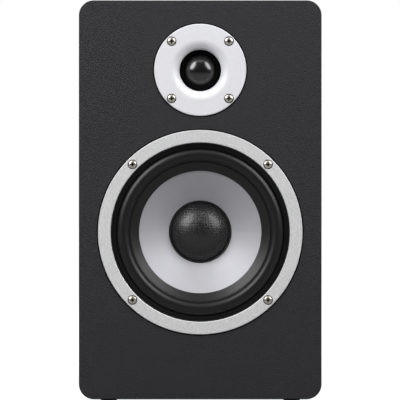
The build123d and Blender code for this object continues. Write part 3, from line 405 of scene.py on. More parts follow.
class Effect(Enum):
    """The surface patterns that finishes share, each one shader node group."""

    LEATHER = "leather_grain"
    POWDER = "powder_blast"
    WEAVE = "plain_weave"
    TURNED = "turned_grooves"
    FIBRE = "loose_fibre"
    MOULD = "mould_texture"
    HEAD = "screw_head"
    WOUND = "wound_turns"
    DOPED = "doped_silk"


Pattern = tuple[Value, Value]


class EffectMaker:
    """Builds each pattern's node group once: a place and a scale go in, a height and a mask come out."""

    extras = {Effect.HEAD: ("Spread",), Effect.DOPED: ("Gloss Radius", "Dull Radius")}

    def __init__(self) -> None:
        self.made: dict[Effect, Tree] = {}

    def group(self, effect: Effect) -> Tree:
        """The node group of a pattern, built when first asked for."""
        if effect not in self.made:
            tree = bpy.data.node_groups.new(effect.value, "ShaderNodeTree")
            tree.interface.new_socket("Vector", in_out="INPUT", socket_type="NodeSocketVector")
            for name in ("Scale", *self.extras.get(effect, ())):
                tree.interface.new_socket(name, in_out="INPUT", socket_type="NodeSocketFloat")
            for name in ("Height", "Mask"):
                tree.interface.new_socket(name, in_out="OUTPUT", socket_type="NodeSocketFloat")
            wires = Wires(tree)
            given = [Value(wires, s) for s in tree.nodes.new("NodeGroupInput").outputs if s.name]
            height, mask = getattr(self, effect.value)(wires, *given)
            wires.feed(tree.nodes.new("NodeGroupOutput"), {"Height": height, "Mask": mask})
            self.made[effect] = tree
        return self.made[effect]

    @staticmethod
    def leather_grain(wires: Wires, at: Value, scale: Value) -> Pattern:
        """Pebbled grain of an embossed vinyl: rounded cells with creases between them."""
        cells = wires.new("TexVoronoi", {"Vector": at, "Scale": scale}, feature="DISTANCE_TO_EDGE")
        crease = wires.math("MINIMUM", cells.outputs["Distance"], 0.22)
        height = crease * 3.0 + wires.noise(at, scale * 2.7, 3.0) * 0.5
        return height, height * 0.55 + wires.noise(at, scale * 0.21) * 0.45

    @staticmethod
    def powder_blast(wires: Wires, at: Value, scale: Value) -> Pattern:
        """Fine blasted metal: tight noise with a sparkle in its peaks."""
        height = (wires.noise(at, scale, 1.0) + wires.noise(at, scale * 2.3)) * 0.5
        return height, (height - 0.4) * 4.0

    @staticmethod
    def plain_weave(wires: Wires, at: Value, scale: Value) -> Pattern:
        """Threads over and under each other, seen along the driver's axis."""
        x, _, z = wires.split(at)
        wobble, slub = wires.noise(at, scale * 0.15, 1.0), wires.noise(at, scale * 0.8)
        turn = scale * math.pi
        cross = wires.math("SINE", x * turn + wobble) * wires.math("SINE", z * turn + wobble)
        mask = (cross + 1.0) * 0.25 + slub * 0.5
        return wires.math("ABSOLUTE", cross) * 0.4 + slub * 1.1, mask

    @staticmethod
    def turned_grooves(wires: Wires, at: Value, scale: Value) -> Pattern:
        """Fine concentric lines about the Y axis, as left by a lathe or a press."""
        x, _, z = wires.split(at)
        soft = wires.noise(at, scale * 0.06)
        wave = wires.math("SINE", wires.length(x, z) * (scale * (2 * math.pi)) + soft * 3.0)
        height = (wave + 1.0) * 0.5
        return height, height * 0.35 + soft * 0.65

    @staticmethod
    def loose_fibre(wires: Wires, at: Value, scale: Value) -> Pattern:
        """Tangled fibres: strongly bent noise, from felt to loose wadding."""
        height = wires.noise(at, scale, 5.0, 2.5) * 0.6 + wires.noise(at, scale * 0.2, 3.0, 0.6) * 0.4
        return height, height

    @staticmethod
    def mould_texture(wires: Wires, at: Value, scale: Value) -> Pattern:
        """Spark-eroded texture of a moulding, with faint flow marks."""
        grit = wires.noise(at, scale, 3.0)
        return grit, grit * 0.5 + wires.noise(at, scale * 0.025, 2.0, 0.8) * 0.5

    @staticmethod
    def wound_turns(wires: Wires, at: Value, scale: Value) -> Pattern:
        """Turns of wire lying side by side along the Y axis, a little uneven."""
        drift = wires.noise(at, scale * 0.04)
        wave = wires.math("SINE", wires.split(at)[1] * (scale * math.pi) + drift * 1.5)
        crown = wires.math("SQRT", wires.math("ABSOLUTE", wave))
        return crown, crown * 0.6 + drift * 0.4

    @staticmethod
    def doped_silk(wires: Wires, at: Value, scale: Value, gloss: Value, dull: Value) -> Pattern:
        """Fine silk under a lacquer that thins towards the glued rim; the mask is 1 where it is dull."""
        x, _, z = wires.split(at)
        turn = scale * math.pi
        weave = wires.math("SINE", x * turn) * wires.math("SINE", z * turn)
        share = wires.math("DIVIDE", wires.length(x, z) - gloss, dull - gloss)
        share = wires.math("MINIMUM", wires.math("MAXIMUM", share, 0.0), 1.0)
        return wires.math("ABSOLUTE", weave), share * 0.9 + wires.noise(at, scale * 0.12) * 0.1

    @staticmethod
    def screw_head(wires: Wires, at: Value, scale: Value, spread: Value) -> Pattern:
        """Bright dome between a dark recess and a dark rim, both painted shade, on four screws at (+-Spread,
        +-Spread).
        """
        x, _, z = wires.split(at)
        radius = wires.length(*(wires.math("ABSOLUTE", axis) - spread for axis in (x, z)))
        # The dark recess and the dark rim below are painted shade.
        recess = wires.ramp(radius, (0.0, 1.0), (0.8 * MM, 1.8 * MM))
        rim = wires.ramp(radius, (1.0, 0.0), (2.8 * MM, 3.5 * MM))
        crown = recess * rim
        return crown, crown * (wires.noise(at, scale) * 0.5 + 0.75)


# ---- Finishes ----


def linear(shade: Colour) -> Colour:
    """A shader colour from display values of 0 to 255."""
    return (*((c / 255 / 12.92) if c < 11 else ((c / 255 + 0.055) / 1.055) ** 2.4 for c in shade), 1.0)


@dataclass(frozen=True)
class Finish:
    """One surface: two display colours and two roughnesses, mixed by a pattern that also gives relief.

    The size of the pattern's cell and its relief are in millimetres.
    """

    name: str
    low: Colour
    high: Colour
    rough: tuple[float, float]
    effect: Effect
    cell: float
    relief: float
    metallic: float = 0.0
    coat: float = 0.0
    coat_rough: float = 0.15
    sheen: float = 0.0
    specular: float = 0.5

    def material(self, effects: EffectMaker, centre: Vector) -> bpy.types.Material:
        """The finish's material, its pattern centred on a point."""
        made, wires, shader = new_material(self.name)
        colour, rough, height = self.skin(wires, effects, centre)
        wires.feed(shader, {
            "Base Color": colour,
            "Roughness": rough,
            "Normal": wires.bump(height, self.relief),
            "Metallic": self.metallic,
            "Specular IOR Level": self.specular,
            "Coat Weight": self.coat,
            "Coat Roughness": self.coat_rough,
            "Sheen Weight": self.sheen,
            "Sheen Roughness": 0.4,
        })
        return made

    def skin(self, wires: Wires, effects: EffectMaker, centre: Vector) -> tuple[Socket, Value, Value]:
        """The finish's colour, roughness and height."""
        pattern = self.pattern(wires, effects, centre)
        mask = pattern.outputs["Mask"]
        colour = wires.mix(mask, linear(self.low), linear(self.high))
        return colour, wires.ramp(mask, self.rough), Value(wires, pattern.outputs["Height"])

    def pattern(self, wires: Wires, effects: EffectMaker, centre: Vector) -> Node:
        """Place the pattern's group, on object coordinates counted from centre."""
        place = wires.new("TexCoord").outputs["Object"]
        mapping = wires.new("Mapping", {"Location": -centre, "Vector": place})
        inputs = {"Scale": 1 / (self.cell * MM), "Vector": mapping.outputs["Vector"]}
        return wires.new("Group", inputs, node_tree=effects.group(self.effect))


@dataclass(frozen=True)
class ScrewFinish(Finish):
    """Plated screw heads, set in a square about the centre; the recess and the rim are darkened with painted
    shade.
    """

    spread: float = 0.0

    def pattern(self, wires: Wires, effects: EffectMaker, centre: Vector) -> Node:
        """Place the head's pattern, folded so that it falls on all four screws."""
        pattern = super().pattern(wires, effects, centre)
        wires.feed(pattern, {"Spread": self.spread})
        return pattern


@dataclass(frozen=True)
class DomeFinish(Finish):
    """Lacquered silk: glossy in the middle and dull towards its glued rim."""

    gloss_radius: float = 8.8 * MM
    dull_radius: float = 12.2 * MM

    def pattern(self, wires: Wires, effects: EffectMaker, centre: Vector) -> Node:
        """Place the silk's pattern, and let its mask take the lacquer off the rim."""
        pattern = super().pattern(wires, effects, centre)
        wires.feed(pattern, {"Gloss Radius": self.gloss_radius, "Dull Radius": self.dull_radius})
        lacquer = wires.ramp(pattern.outputs["Mask"], (self.coat, 0.0))
        wires.feed(wires.tree.nodes["Principled BSDF"], {"Coat Weight": lacquer})
        return pattern


@dataclass(frozen=True)
class WindingFinish(Finish):
    """The wire of both inductors: an upright coil to the left of the middle, a lying one to the right."""

    def pattern(self, wires: Wires, effects: EffectMaker, centre: Vector) -> Node:
        """Place the turns' pattern along each coil's own axis."""
        pattern = super().pattern(wires, effects, centre)
        x, y, z = wires.split(pattern.inputs["Vector"].links[0].from_socket)
        along = z + (y - z) * wires.math("GREATER_THAN", x, 0.0)
        wires.feed(pattern, {"Vector": wires.new("CombineXYZ", {"X": x, "Y": along}).outputs["Vector"]})
        return pattern


LEATHER, POWDER, WEAVE, TURNED, FIBRE, MOULD, HEAD, WOUND, DOPED = Effect

VINYL = Finish("vinyl_wrap", (0, 0, 1), (25, 23, 30), (0.48, 0.68), LEATHER, 1.8, 0.26)
RAW_BOARD = Finish("raw_fibreboard", (128, 92, 58), (160, 120, 80), (0.8, 0.95), FIBRE, 1.6, 0.1)
TRIM = Finish(
    "blasted_silver", (212, 212, 213), (238, 238, 239), (0.42, 0.55), POWDER, 0.9, 0.03, metallic=0.38
)
PLATE = Finish("pale_silver", (221, 221, 225), (234, 234, 238), (0.5, 0.6), POWDER, 0.4, 0.01, metallic=0.16)
CONE = Finish("satin_cone", (170, 170, 175), (186, 186, 191), (0.54, 0.62), TURNED, 0.7, 0.004, metallic=0.5)
RUBBER = Finish("butyl_rubber", (6, 6, 7), (13, 13, 14), (0.34, 0.46), MOULD, 0.5, 0.01, specular=0.42)
FOOT_RUBBER = Finish("foot_rubber", (22, 22, 22), (34, 34, 34), (0.6, 0.75), MOULD, 0.6, 0.03)
# Near-black, barely reflecting foam for the beads round the plates: painted shade in the rebate gaps.
SHADE_BEAD_FOAM = Finish("shade_black_foam", (1, 1, 1), (7, 7, 7), (0.85, 0.95), FIBRE, 0.6, 0.1, specular=0.05)
FOAM = Finish("closed_foam", (12, 12, 12), (28, 28, 28), (0.8, 0.95), FIBRE, 0.6, 0.15)
CAP = Finish("coated_weave", (2, 2, 2), (20, 20, 22), (0.2, 0.42), WEAVE, 1.4, 0.3, coat=0.4, coat_rough=0.24)
DOME = DomeFinish(
    "lacquered_silk", (1, 1, 2), (2, 2, 3), (0.2, 0.85), DOPED, 0.35, 0.004, coat=1.0, coat_rough=0.14
)
POWDER_COAT = Finish("black_powder_coat", (24, 24, 25), (40, 40, 41), (0.45, 0.6), MOULD, 0.4, 0.02)
CLOTH_ROLL = Finish("doped_roll", (1, 1, 1), (5, 5, 6), (0.55, 0.7), WEAVE, 0.5, 0.02, specular=0.05)
BLACK_SCREW = Finish("black_oxide", (26, 26, 27), (44, 44, 45), (0.35, 0.5), MOULD, 0.3, 0.006, metallic=0.7)
ZINC = Finish("zinc_plate", (150, 152, 148), (182, 182, 176), (0.28, 0.42), TURNED, 0.6, 0.012, metallic=1.0)
FERRITE = Finish("ferrite", (46, 46, 49), (72, 72, 74), (0.6, 0.8), MOULD, 1.2, 0.06)
COPPER = Finish(
    "enamelled_copper", (134, 62, 30), (196, 110, 62), (0.2, 0.34), WOUND, 0.7, 0.15, metallic=0.9, coat=0.4
)
WINDING = WindingFinish(
    "inductor_wire", (134, 62, 30), (196, 110, 62), (0.2, 0.34), WOUND, 0.9, 0.2, metallic=0.9, coat=0.4
)
AMBER = Finish("amber_film", (150, 84, 22), (190, 118, 44), (0.18, 0.3), MOULD, 2.0, 0.004, coat=0.3)
SPIDER = Finish("stiffened_cotton", (150, 118, 58), (208, 176, 108), (0.7, 0.9), WEAVE, 0.7, 0.08, sheen=0.2)
FIBRE_BOARD = Finish("fibre_tag_board", (84, 44, 26), (118, 68, 42), (0.6, 0.8), FIBRE, 1.5, 0.03)
BRAID = Finish(
    "braided_copper", (150, 104, 62), (222, 180, 126), (0.25, 0.4), WEAVE, 0.5, 0.1, metallic=1.0
)
MOULDED = Finish("textured_plastic", (26, 26, 27), (42, 42, 43), (0.45, 0.6), MOULD, 0.7, 0.03)
GOLD = Finish("gold_plate", (196, 150, 62), (236, 196, 104), (0.14, 0.24), TURNED, 0.4, 0.004, metallic=1.0)
RED = Finish("red_knob", (150, 12, 14), (178, 20, 20), (0.16, 0.26), MOULD, 1.0, 0.006, coat=0.7)
BLACK = Finish("black_knob", (14, 14, 15), (24, 24, 25), (0.16, 0.26), MOULD, 1.0, 0.006, coat=0.7)
SOLDER_MASK = Finish("solder_mask", (16, 72, 40), (30, 104, 60), (0.25, 0.4), WEAVE, 1.2, 0.01, coat=0.5)
NYLON = Finish("natural_nylon", (206, 202, 190), (226, 224, 214), (0.4, 0.55), MOULD, 1.0, 0.01)
BOBBIN = Finish("bobbin_plastic", (28, 28, 29), (40, 40, 41), (0.4, 0.55), MOULD, 0.8, 0.02)
YELLOW_WRAP = Finish("yellow_wrap", (190, 140, 30), (222, 176, 62), (0.25, 0.4), MOULD, 2.5, 0.02, coat=0.4)
BLUE_SLEEVE = Finish("blue_sleeve", (22, 38, 84), (38, 58, 112), (0.2, 0.35), MOULD, 2.0, 0.02, coat=0.4)
CEMENT = Finish("white_cement", (198, 194, 184), (226, 224, 216), (0.75, 0.9), FIBRE, 1.4, 0.08)
RED_WIRE = Finish("red_insulation", (150, 16, 16), (180, 28, 26), (0.3, 0.42), MOULD, 1.2, 0.006)
BLACK_WIRE = Finish("black_insulation", (18, 18, 18), (32, 32, 32), (0.3, 0.42), MOULD, 1.2, 0.006)
WADDING = Finish("polyester_fibre", (196, 196, 192), (240, 240, 238), (0.85, 1.0), FIBRE, 3.0, 1.2, sheen=0.4)
TIN = Finish("tinned_metal", (170, 172, 174), (208, 210, 212), (0.22, 0.36), POWDER, 0.8, 0.02, metallic=1.0)
GLUE = Finish("black_glue", (14, 14, 14), (26, 26, 26), (0.16, 0.3), MOULD, 2.0, 0.05, coat=0.3)
HOT_MELT = Finish("hot_melt", (196, 186, 158), (222, 214, 190), (0.2, 0.32), MOULD, 3.0, 0.05, coat=0.3)


def plated_screw(circle: float) -> ScrewFinish:
    """The finish of four bright screws on a driver's screw circle."""
    # The low colour is the painted shade of each head's recess and rim.
    return ScrewFinish(
        f"plated_screw_{circle * 1000:.0f}", (30, 28, 24), (196, 193, 182), (0.5, 0.24), HEAD, 0.4, 0.02,
        metallic=0.8, spread=circle / math.sqrt(2),
    )


class Paint:
    """Puts finishes on solids and on new pieces."""

    def __init__(self) -> None:
        self.effects = EffectMaker()
        self.made: dict[tuple[str, tuple[float, ...]], bpy.types.Material] = {}

    @staticmethod
    def cover(piece: Piece, material: bpy.types.Material) -> None:
        """Make a material the piece's only one."""
        piece.data.materials.clear()
        piece.data.materials.append(material)
        LOG.info("%s is finished in %s", piece.name, material.name)

    def coat(self, piece: Piece, finish: Finish, centre: Vector = Vector()) -> None:
        """Cover a piece with a finish about a centre, whose material is made when first asked for."""
        key = (finish.name, tuple(round(c, 4) for c in centre))
        if key not in self.made:
            self.made[key] = finish.material(self.effects, centre)
        self.cover(piece, self.made[key])

    def solids(self, prefix: str, centre: Vector = Vector(), **finishes: Finish) -> None:
        """Finish the solids whose names are a prefix and a keyword."""
        for name, finish in finishes.items():
            self.coat(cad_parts[prefix + name], finish, centre)

    def piece(self, piece: Piece, finish: Finish, body: str, slot: str, centre: Vector = Vector()) -> None:
        """Finish a new piece and let it ride.

        Args:
            piece: The new piece.
            finish: Its finish.
            body: The body it rides on.
            slot: Not used.
            centre: The point its pattern is centred on.
        """
        self.coat(piece, finish, centre)
        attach(piece, body)


# ---- Cabinet ----


@dataclass
class Cabinet:
    """The wrapped box: vinyl outside, raw board inside."""

    corner: float = 12.5 * MM
    skin: float = 0.9 * MM
    painted_depth: float = 6.0 * MM

    def build(self, paint: Paint) -> None:
        """Wrap the six panels and finish the feet."""
        material = self.wrapped_board(paint)
        for name in ("front_baffle", "rear_panel", "left_panel", "right_panel", "top_panel", "bottom_panel"):
            paint.cover(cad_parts[name], material)
        paint.solids("rubber_", feet=FOOT_RUBBER)

    def outside_mask(self, wires: Wires) -> Value:
        """1 on the wrapped skin and 0 on raw board, from the place alone."""
        low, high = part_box("front_baffle")
        centre, half = (low + high) / 2, (high - low) / 2
        x, y, z = wires.split(wires.new("TexCoord").outputs["Object"])
        reach = [
            wires.math("ABSOLUTE", x - centre.x) - (half.x - self.corner),
            wires.math("ABSOLUTE", z - centre.z) - (half.z - self.corner),
        ]
        past = (wires.math("MAXIMUM", value, 0.0) for value in reach)
        flat_part = wires.math("MINIMUM", wires.math("MAXIMUM", *reach), 0.0)
        side = wires.math("GREATER_THAN", wires.length(*past) + flat_part, self.corner - self.skin)
        front = wires.math("LESS_THAN", y, low.y + self.painted_depth)
        back = wires.math("GREATER_THAN", y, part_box("rear_panel")[1].y - self.skin)
        return wires.math("MAXIMUM", side, wires.math("MAXIMUM", front, back))

    def wrapped_board(self, paint: Paint) -> bpy.types.Material:
        """Vinyl and raw board in one material, split by the outside mask."""
        made, wires, shader = new_material("wrapped_board")
        mask = self.outside_mask(wires)
        raw, wrap = (finish.skin(wires, paint.effects, Vector()) for finish in (RAW_BOARD, VINYL))
        rough = wires.new("Mix", {"Factor": mask, "A": raw[1], "B": wrap[1]}).outputs["Result"]
        raw_height = raw[2] * (RAW_BOARD.relief / VINYL.relief)
        height = wires.new("Mix", {"Factor": mask, "A": raw_height, "B": wrap[2]}).outputs["Result"]
        wires.feed(shader, {
            "Base Color": wires.mix(mask, raw[0], wrap[0]),
            "Roughness": rough,
            "Normal": wires.bump(height, VINYL.relief),
        })
        return made


# ---- Drivers ----


@dataclass
class Driver:
    """What both drivers share: an axis, soft parts, glue at the magnet and a near-black foam bead round the
    plate, painted shade for its rebate gap.
    """

    prefix: str = ""
    plate: str = ""
    body: str = ""
    glue: str = ""
    glue_gap: float = 0.0
    glue_bead: float = 0.0
    glue_sides: int = 0
    glue_steps: int = 0

    def __post_init__(self) -> None:
        self.axis = Vector((0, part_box("front_baffle")[0].y, middle(self.plate).z))

    def rebate_shade_bead(self, paint: Paint) -> None:
        """A thin black foam bead round the plate, in its rebate: painted shade that darkens the gap there."""
        thick = 0.6 * MM
        section = bead((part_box(self.plate)[1].x + thick, 0.35 * MM), thick, 10)
        piece = Bench.turn(f"{self.prefix}rebate_shade_bead", section, self.axis, 144)
        paint.piece(piece, SHADE_BEAD_FOAM, CABINET, "foam_black", self.axis)

    def magnet_glue(self, paint: Paint) -> None:
        """Beads of glue between the magnet and its two plates."""
        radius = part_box(f"{self.prefix}top_plate")[1].x + self.glue_gap
        beads = []
        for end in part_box(f"{self.prefix}magnet"):
            section = bead((radius, end.y - self.axis.y), self.glue_bead, self.glue_sides)
            beads.append(Bench.turn("bead", section, self.axis, self.glue_steps))
        paint.piece(Bench.join(self.glue, beads), GLUE, CABINET, "basket_black", self.axis)

    def soft(self, paint: Paint, piece: Piece, finish: Finish, slot: str, share: Share, solid: str) -> None:
        """Finish a soft piece in place of a solid, reckon its points' shares of the body's motion, and hide the
        solid.

        Args:
            paint: What finishes it.
            piece: The soft piece.
            finish: Its finish.
            slot: Not used.
            share: Gives a point's share of the body's motion.
            solid: The solid it takes the place of.
        """
        paint.coat(piece, finish, self.axis)
        flex(piece, share)
        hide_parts(solid)


@dataclass
class Woofer(Driver):
    """The large driver: its soft suspension is modelled here, the rest is the frame's."""

    prefix: str = "woofer_"
    plate: str = "woofer_trim_ring"
    body: str = WOOFER_BODY
    glue: str = "magnet_glue"
    glue_gap: float = 0.25 * MM
    glue_bead: float = 0.45 * MM
    glue_sides: int = 10
    glue_steps: int = 96
    roll_middle: float = 64.25 * MM
    roll: float = 5.65 * MM
    rubber: float = 0.8 * MM
    flap_bore: float = 51.3 * MM
    lip: float = 73.4 * MM
    landing: float = 6.0 * MM
    slope: float = 0.554
    cap_radius: float = 26.0 * MM
    former: float = 15.3 * MM
    shelf_depth: float = 37.3 * MM
    shelf_bore: float = 47.2 * MM
    spider_lip: float = 4.0 * MM
    spider_swing: float = 0.55 * MM
    waves: int = 5
    wave_points: int = 12
    lead: float = 0.55 * MM
    rivets: int = 6
    rivet_circle: float = 32.0 * MM
    screw_circle: float = 79.7 * MM

    def cone_face(self, radius: float) -> float:
        """Depth of the cone's front at a radius."""
        edge = self.roll_middle - self.roll
        return self.landing + 0.1 * MM + (edge - radius) * self.slope

    def build(self, paint: Paint) -> None:
        """Model the soft parts and the glue, then dress the whole driver."""
        self.surround(paint)
        self.spider(paint)
        self.leads(paint)
        self.cap_bead(paint)
        self.magnet_glue(paint)
        self.rivet_heads(paint)
        self.rebate_shade_bead(paint)
        paint.solids(
            self.prefix, self.axis, trim_ring=TRIM, gasket=FOAM, seal=FOAM, basket=POWDER_COAT, cone=CONE,
            dust_cap=CAP, coil_former=AMBER, voice_coil=COPPER, top_plate=ZINC, magnet=FERRITE, back_plate=ZINC,
            terminals=FIBRE_BOARD, screws=plated_screw(self.screw_circle),
        )

    def surround(self, paint: Paint) -> None:
        """The rubber roll, of one thickness, from its flat outer lip over the half-round roll to the flap on
        the cone.
        """
        depth = self.landing - 0.1 * MM - self.rubber / 2
        inner, outer = self.roll_middle - self.roll, self.roll_middle + self.roll
        flap_depth = depth + (inner - self.flap_bore) * self.slope
        line = [(self.lip, depth), (outer + 1.6 * MM, depth), (outer + 0.7 * MM, depth + 0.02 * MM)]
        line += arc((self.roll_middle, depth), self.roll, 0, -180, 41)
        line += [(inner - 0.7 * MM, depth + 0.3 * MM)]
        for t in (0.3, 0.6, 0.9, 1.0):
            line.append((inner + (self.flap_bore - inner) * t, depth + (flap_depth - depth) * t))
        piece = Bench.turn("surround_roll", sheet(line, self.rubber), self.axis, 180)
        share = radial(self.axis, outer, inner)
        self.soft(paint, piece, RUBBER, "surround_rubber", share, "woofer_surround")

    def spider(self, paint: Paint) -> None:
        """The corrugated cloth that centres the coil."""
        depth, start = self.shelf_depth - 0.35 * MM, self.former + 2.2 * MM
        line = [(self.former + 0.2 * MM, depth), (start, depth)]
        count = self.waves * self.wave_points
        for way in (n / count for n in range(1, count)):
            swing = math.sin(way * self.waves * 2 * math.pi) * min(1.0, 8 * way, 8 * (1 - way))
            line.append((start + (self.shelf_bore - start) * way, depth + self.spider_swing * swing))
        line += [(self.shelf_bore, depth), (self.shelf_bore + self.spider_lip, depth)]
        piece = Bench.turn("spider_cloth", sheet(line, 0.5 * MM), self.axis, 144)
        share = radial(self.axis, self.shelf_bore, start)
        self.soft(paint, piece, SPIDER, "spider_cloth", share, "woofer_spider")

    def leads(self, paint: Paint) -> None:
        """Two slack braided leads from the tag board to the back of the cone."""
        tag, near = 57.5 * MM, 33.0 * MM
        bends = [(57.0 * MM, 33.5 * MM), (50.0 * MM, 31.2 * MM), (42.0 * MM, 31.8 * MM), (35.0 * MM, 29.4 * MM)]
        made = []
        for side in (-5.0 * MM, 5.0 * MM):
            joint = self.cone_face(math.hypot(near, side)) + 1.55 * MM
            route = [(tag, 38.2 * MM), *bends, (near, joint)]
            made.append(Bench.wire("lead", [self.axis + Vector((r, d, side)) for r, d in route], self.lead))
        piece = Bench.join("braided_leads", made)
        self.soft(paint, piece, BRAID, "braid", lambda p: (tag - p.x) / (tag - near), "woofer_leads")

    def cap_bead(self, paint: Paint) -> None:
        """The thin glue bead where the dust cap's rim meets the cone."""
        seat = (self.cap_radius + 0.1 * MM, self.cone_face(self.cap_radius) - 0.22 * MM)
        piece = Bench.turn("cap_glue_bead", bead(seat, 0.32 * MM, 12), self.axis, 144)
        paint.piece(piece, GLUE, WOOFER_BODY, "cap_black", self.axis)

    def rivet_heads(self, paint: Paint) -> None:
        """Swaged heads that hold the basket's floor to the top plate."""
        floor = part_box("woofer_top_plate")[0].y - 1.2 * MM - self.axis.y
        section = ((0, -1.0), (1.2, -0.9), (2.0, -0.45), (2.2, 0), (1.0, 0), (0, 0))
        head = [(radius * MM, depth * MM) for radius, depth in section]
        heads = []
        for n in range(self.rivets):
            turn = math.radians(360 / self.rivets * n)
            spot = Vector((math.cos(turn), 0, math.sin(turn))) * self.rivet_circle
            heads.append(Bench.turn("rivet", head, self.axis + spot + Vector((0, floor, 0)), 20))
        paint.piece(Bench.join("basket_rivets", heads), ZINC, CABINET, "zinc_steel", self.axis)


@dataclass
class Tweeter(Driver):
    """The small driver: a soft dome at the bottom of a rolled-in plate."""

    prefix: str = "tweeter_"
    plate: str = "tweeter_faceplate"
    body: str = TWEETER_BODY
    glue: str = "dome_magnet_glue"
    glue_gap: float = 0.1 * MM
    glue_bead: float = 0.3 * MM
    glue_sides: int = 8
    glue_steps: int = 72
    dome: float = 13.2 * MM
    throat: float = 17.1 * MM
    rim: float = 27.3 * MM
    depth: float = 10.3 * MM
    cloth: float = 0.4 * MM
    screw_circle: float = 33.7 * MM

    def build(self, paint: Paint) -> None:
        """Model the surround and the glue, then dress the driver."""
        self.surround(paint)
        self.magnet_glue(paint)
        self.rebate_shade_bead(paint)
        paint.solids(
            self.prefix, self.axis, faceplate=PLATE, seal=FOAM, dome=DOME, coil_former=AMBER, voice_coil=COPPER,
            top_plate=ZINC, magnet=FERRITE, back_plate=ZINC, terminals=FIBRE_BOARD,
            screws=plated_screw(self.screw_circle),
        )

    def surround(self, paint: Paint) -> None:
        """The cloth roll round the dome and its clamped rim."""
        roll_middle, roll = (self.dome + self.throat) / 2, (self.throat - self.dome) / 2
        line = [(self.rim, self.depth), (self.throat + 3 * MM, self.depth)]
        line += arc((roll_middle, self.depth), roll, 0, -180, 25)
        piece = Bench.turn("dome_surround", sheet(line, self.cloth), self.axis, 128)
        share = radial(self.axis, self.throat, self.dome)
        self.soft(paint, piece, CLOTH_ROLL, "dome_black", share, "tweeter_surround")


# ---- Back ----


@dataclass
class Back:
    """The bass port, and the cup with its two screw terminals."""

    mark: float = 5.0 * MM
    mark_bar: float = 1.3 * MM
    mark_height: float = 0.5 * MM
    mark_rise: float = 13.0 * MM

    def build(self, paint: Paint) -> None:
        """Add the polarity marks and dress the back."""
        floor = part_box("positive_collar")[0].y
        for side, finish in (("positive_", RED), ("negative_", BLACK)):
            post = middle(f"{side}post")
            centre = Vector((post.x, floor, post.z + self.mark_rise))
            piece = self.polarity_mark(f"{side}mark", centre, side == "positive_")
            paint.piece(piece, NYLON, CABINET, "nylon")
            paint.solids(side, post, collar=finish, knob=finish, post=GOLD, washer=GOLD)
        paint.solids(
            "", bass_port=MOULDED, terminal_cup=MOULDED, terminal_seal=FOAM, terminal_screws=BLACK_SCREW,
            solder_tags=GOLD, post_nuts=GOLD,
        )

    def polarity_mark(self, name: str, centre: Vector, both: bool) -> Piece:
        """A raised bar, or a raised cross.

        Args:
            name: The piece's name.
            centre: The mark's centre, on the cup's floor.
            both: Whether it has its upright bar too.

        Returns:
            The mark.
        """
        half, bar = self.mark / 2, self.mark_bar / 2
        low = centre + Vector((-half, -0.1 * MM, -bar))
        piece = Bench.block(name, low, centre + Vector((half, self.mark_height, bar)))
        if both:
            self.raise_upright(piece, centre, bar, half)
        return Bench.soften(piece, 0.15 * MM)

    @staticmethod
    def raise_upright(piece: Piece, centre: Vector, bar: float, half: float) -> None:
        """Cut the bar in three and draw its middle up and down into a cross."""
        Bench.pick(piece)
        bpy.ops.object.mode_set(mode="EDIT")
        for x in (centre.x - bar, centre.x + bar):
            bpy.ops.mesh.select_all(action="SELECT")
            bpy.ops.mesh.bisect(plane_co=(x, centre.y, centre.z), plane_no=(1, 0, 0))
        for sign in (1, -1):
            Bench.faces(piece, lambda face: face.normal.z * sign > 0.9 and abs(face.center.x - centre.x) < bar)
            Bench.draw_out((0, 0, sign * (half - bar)))
        bpy.ops.object.mode_set(mode="OBJECT")


# ---- Filter and wiring ----


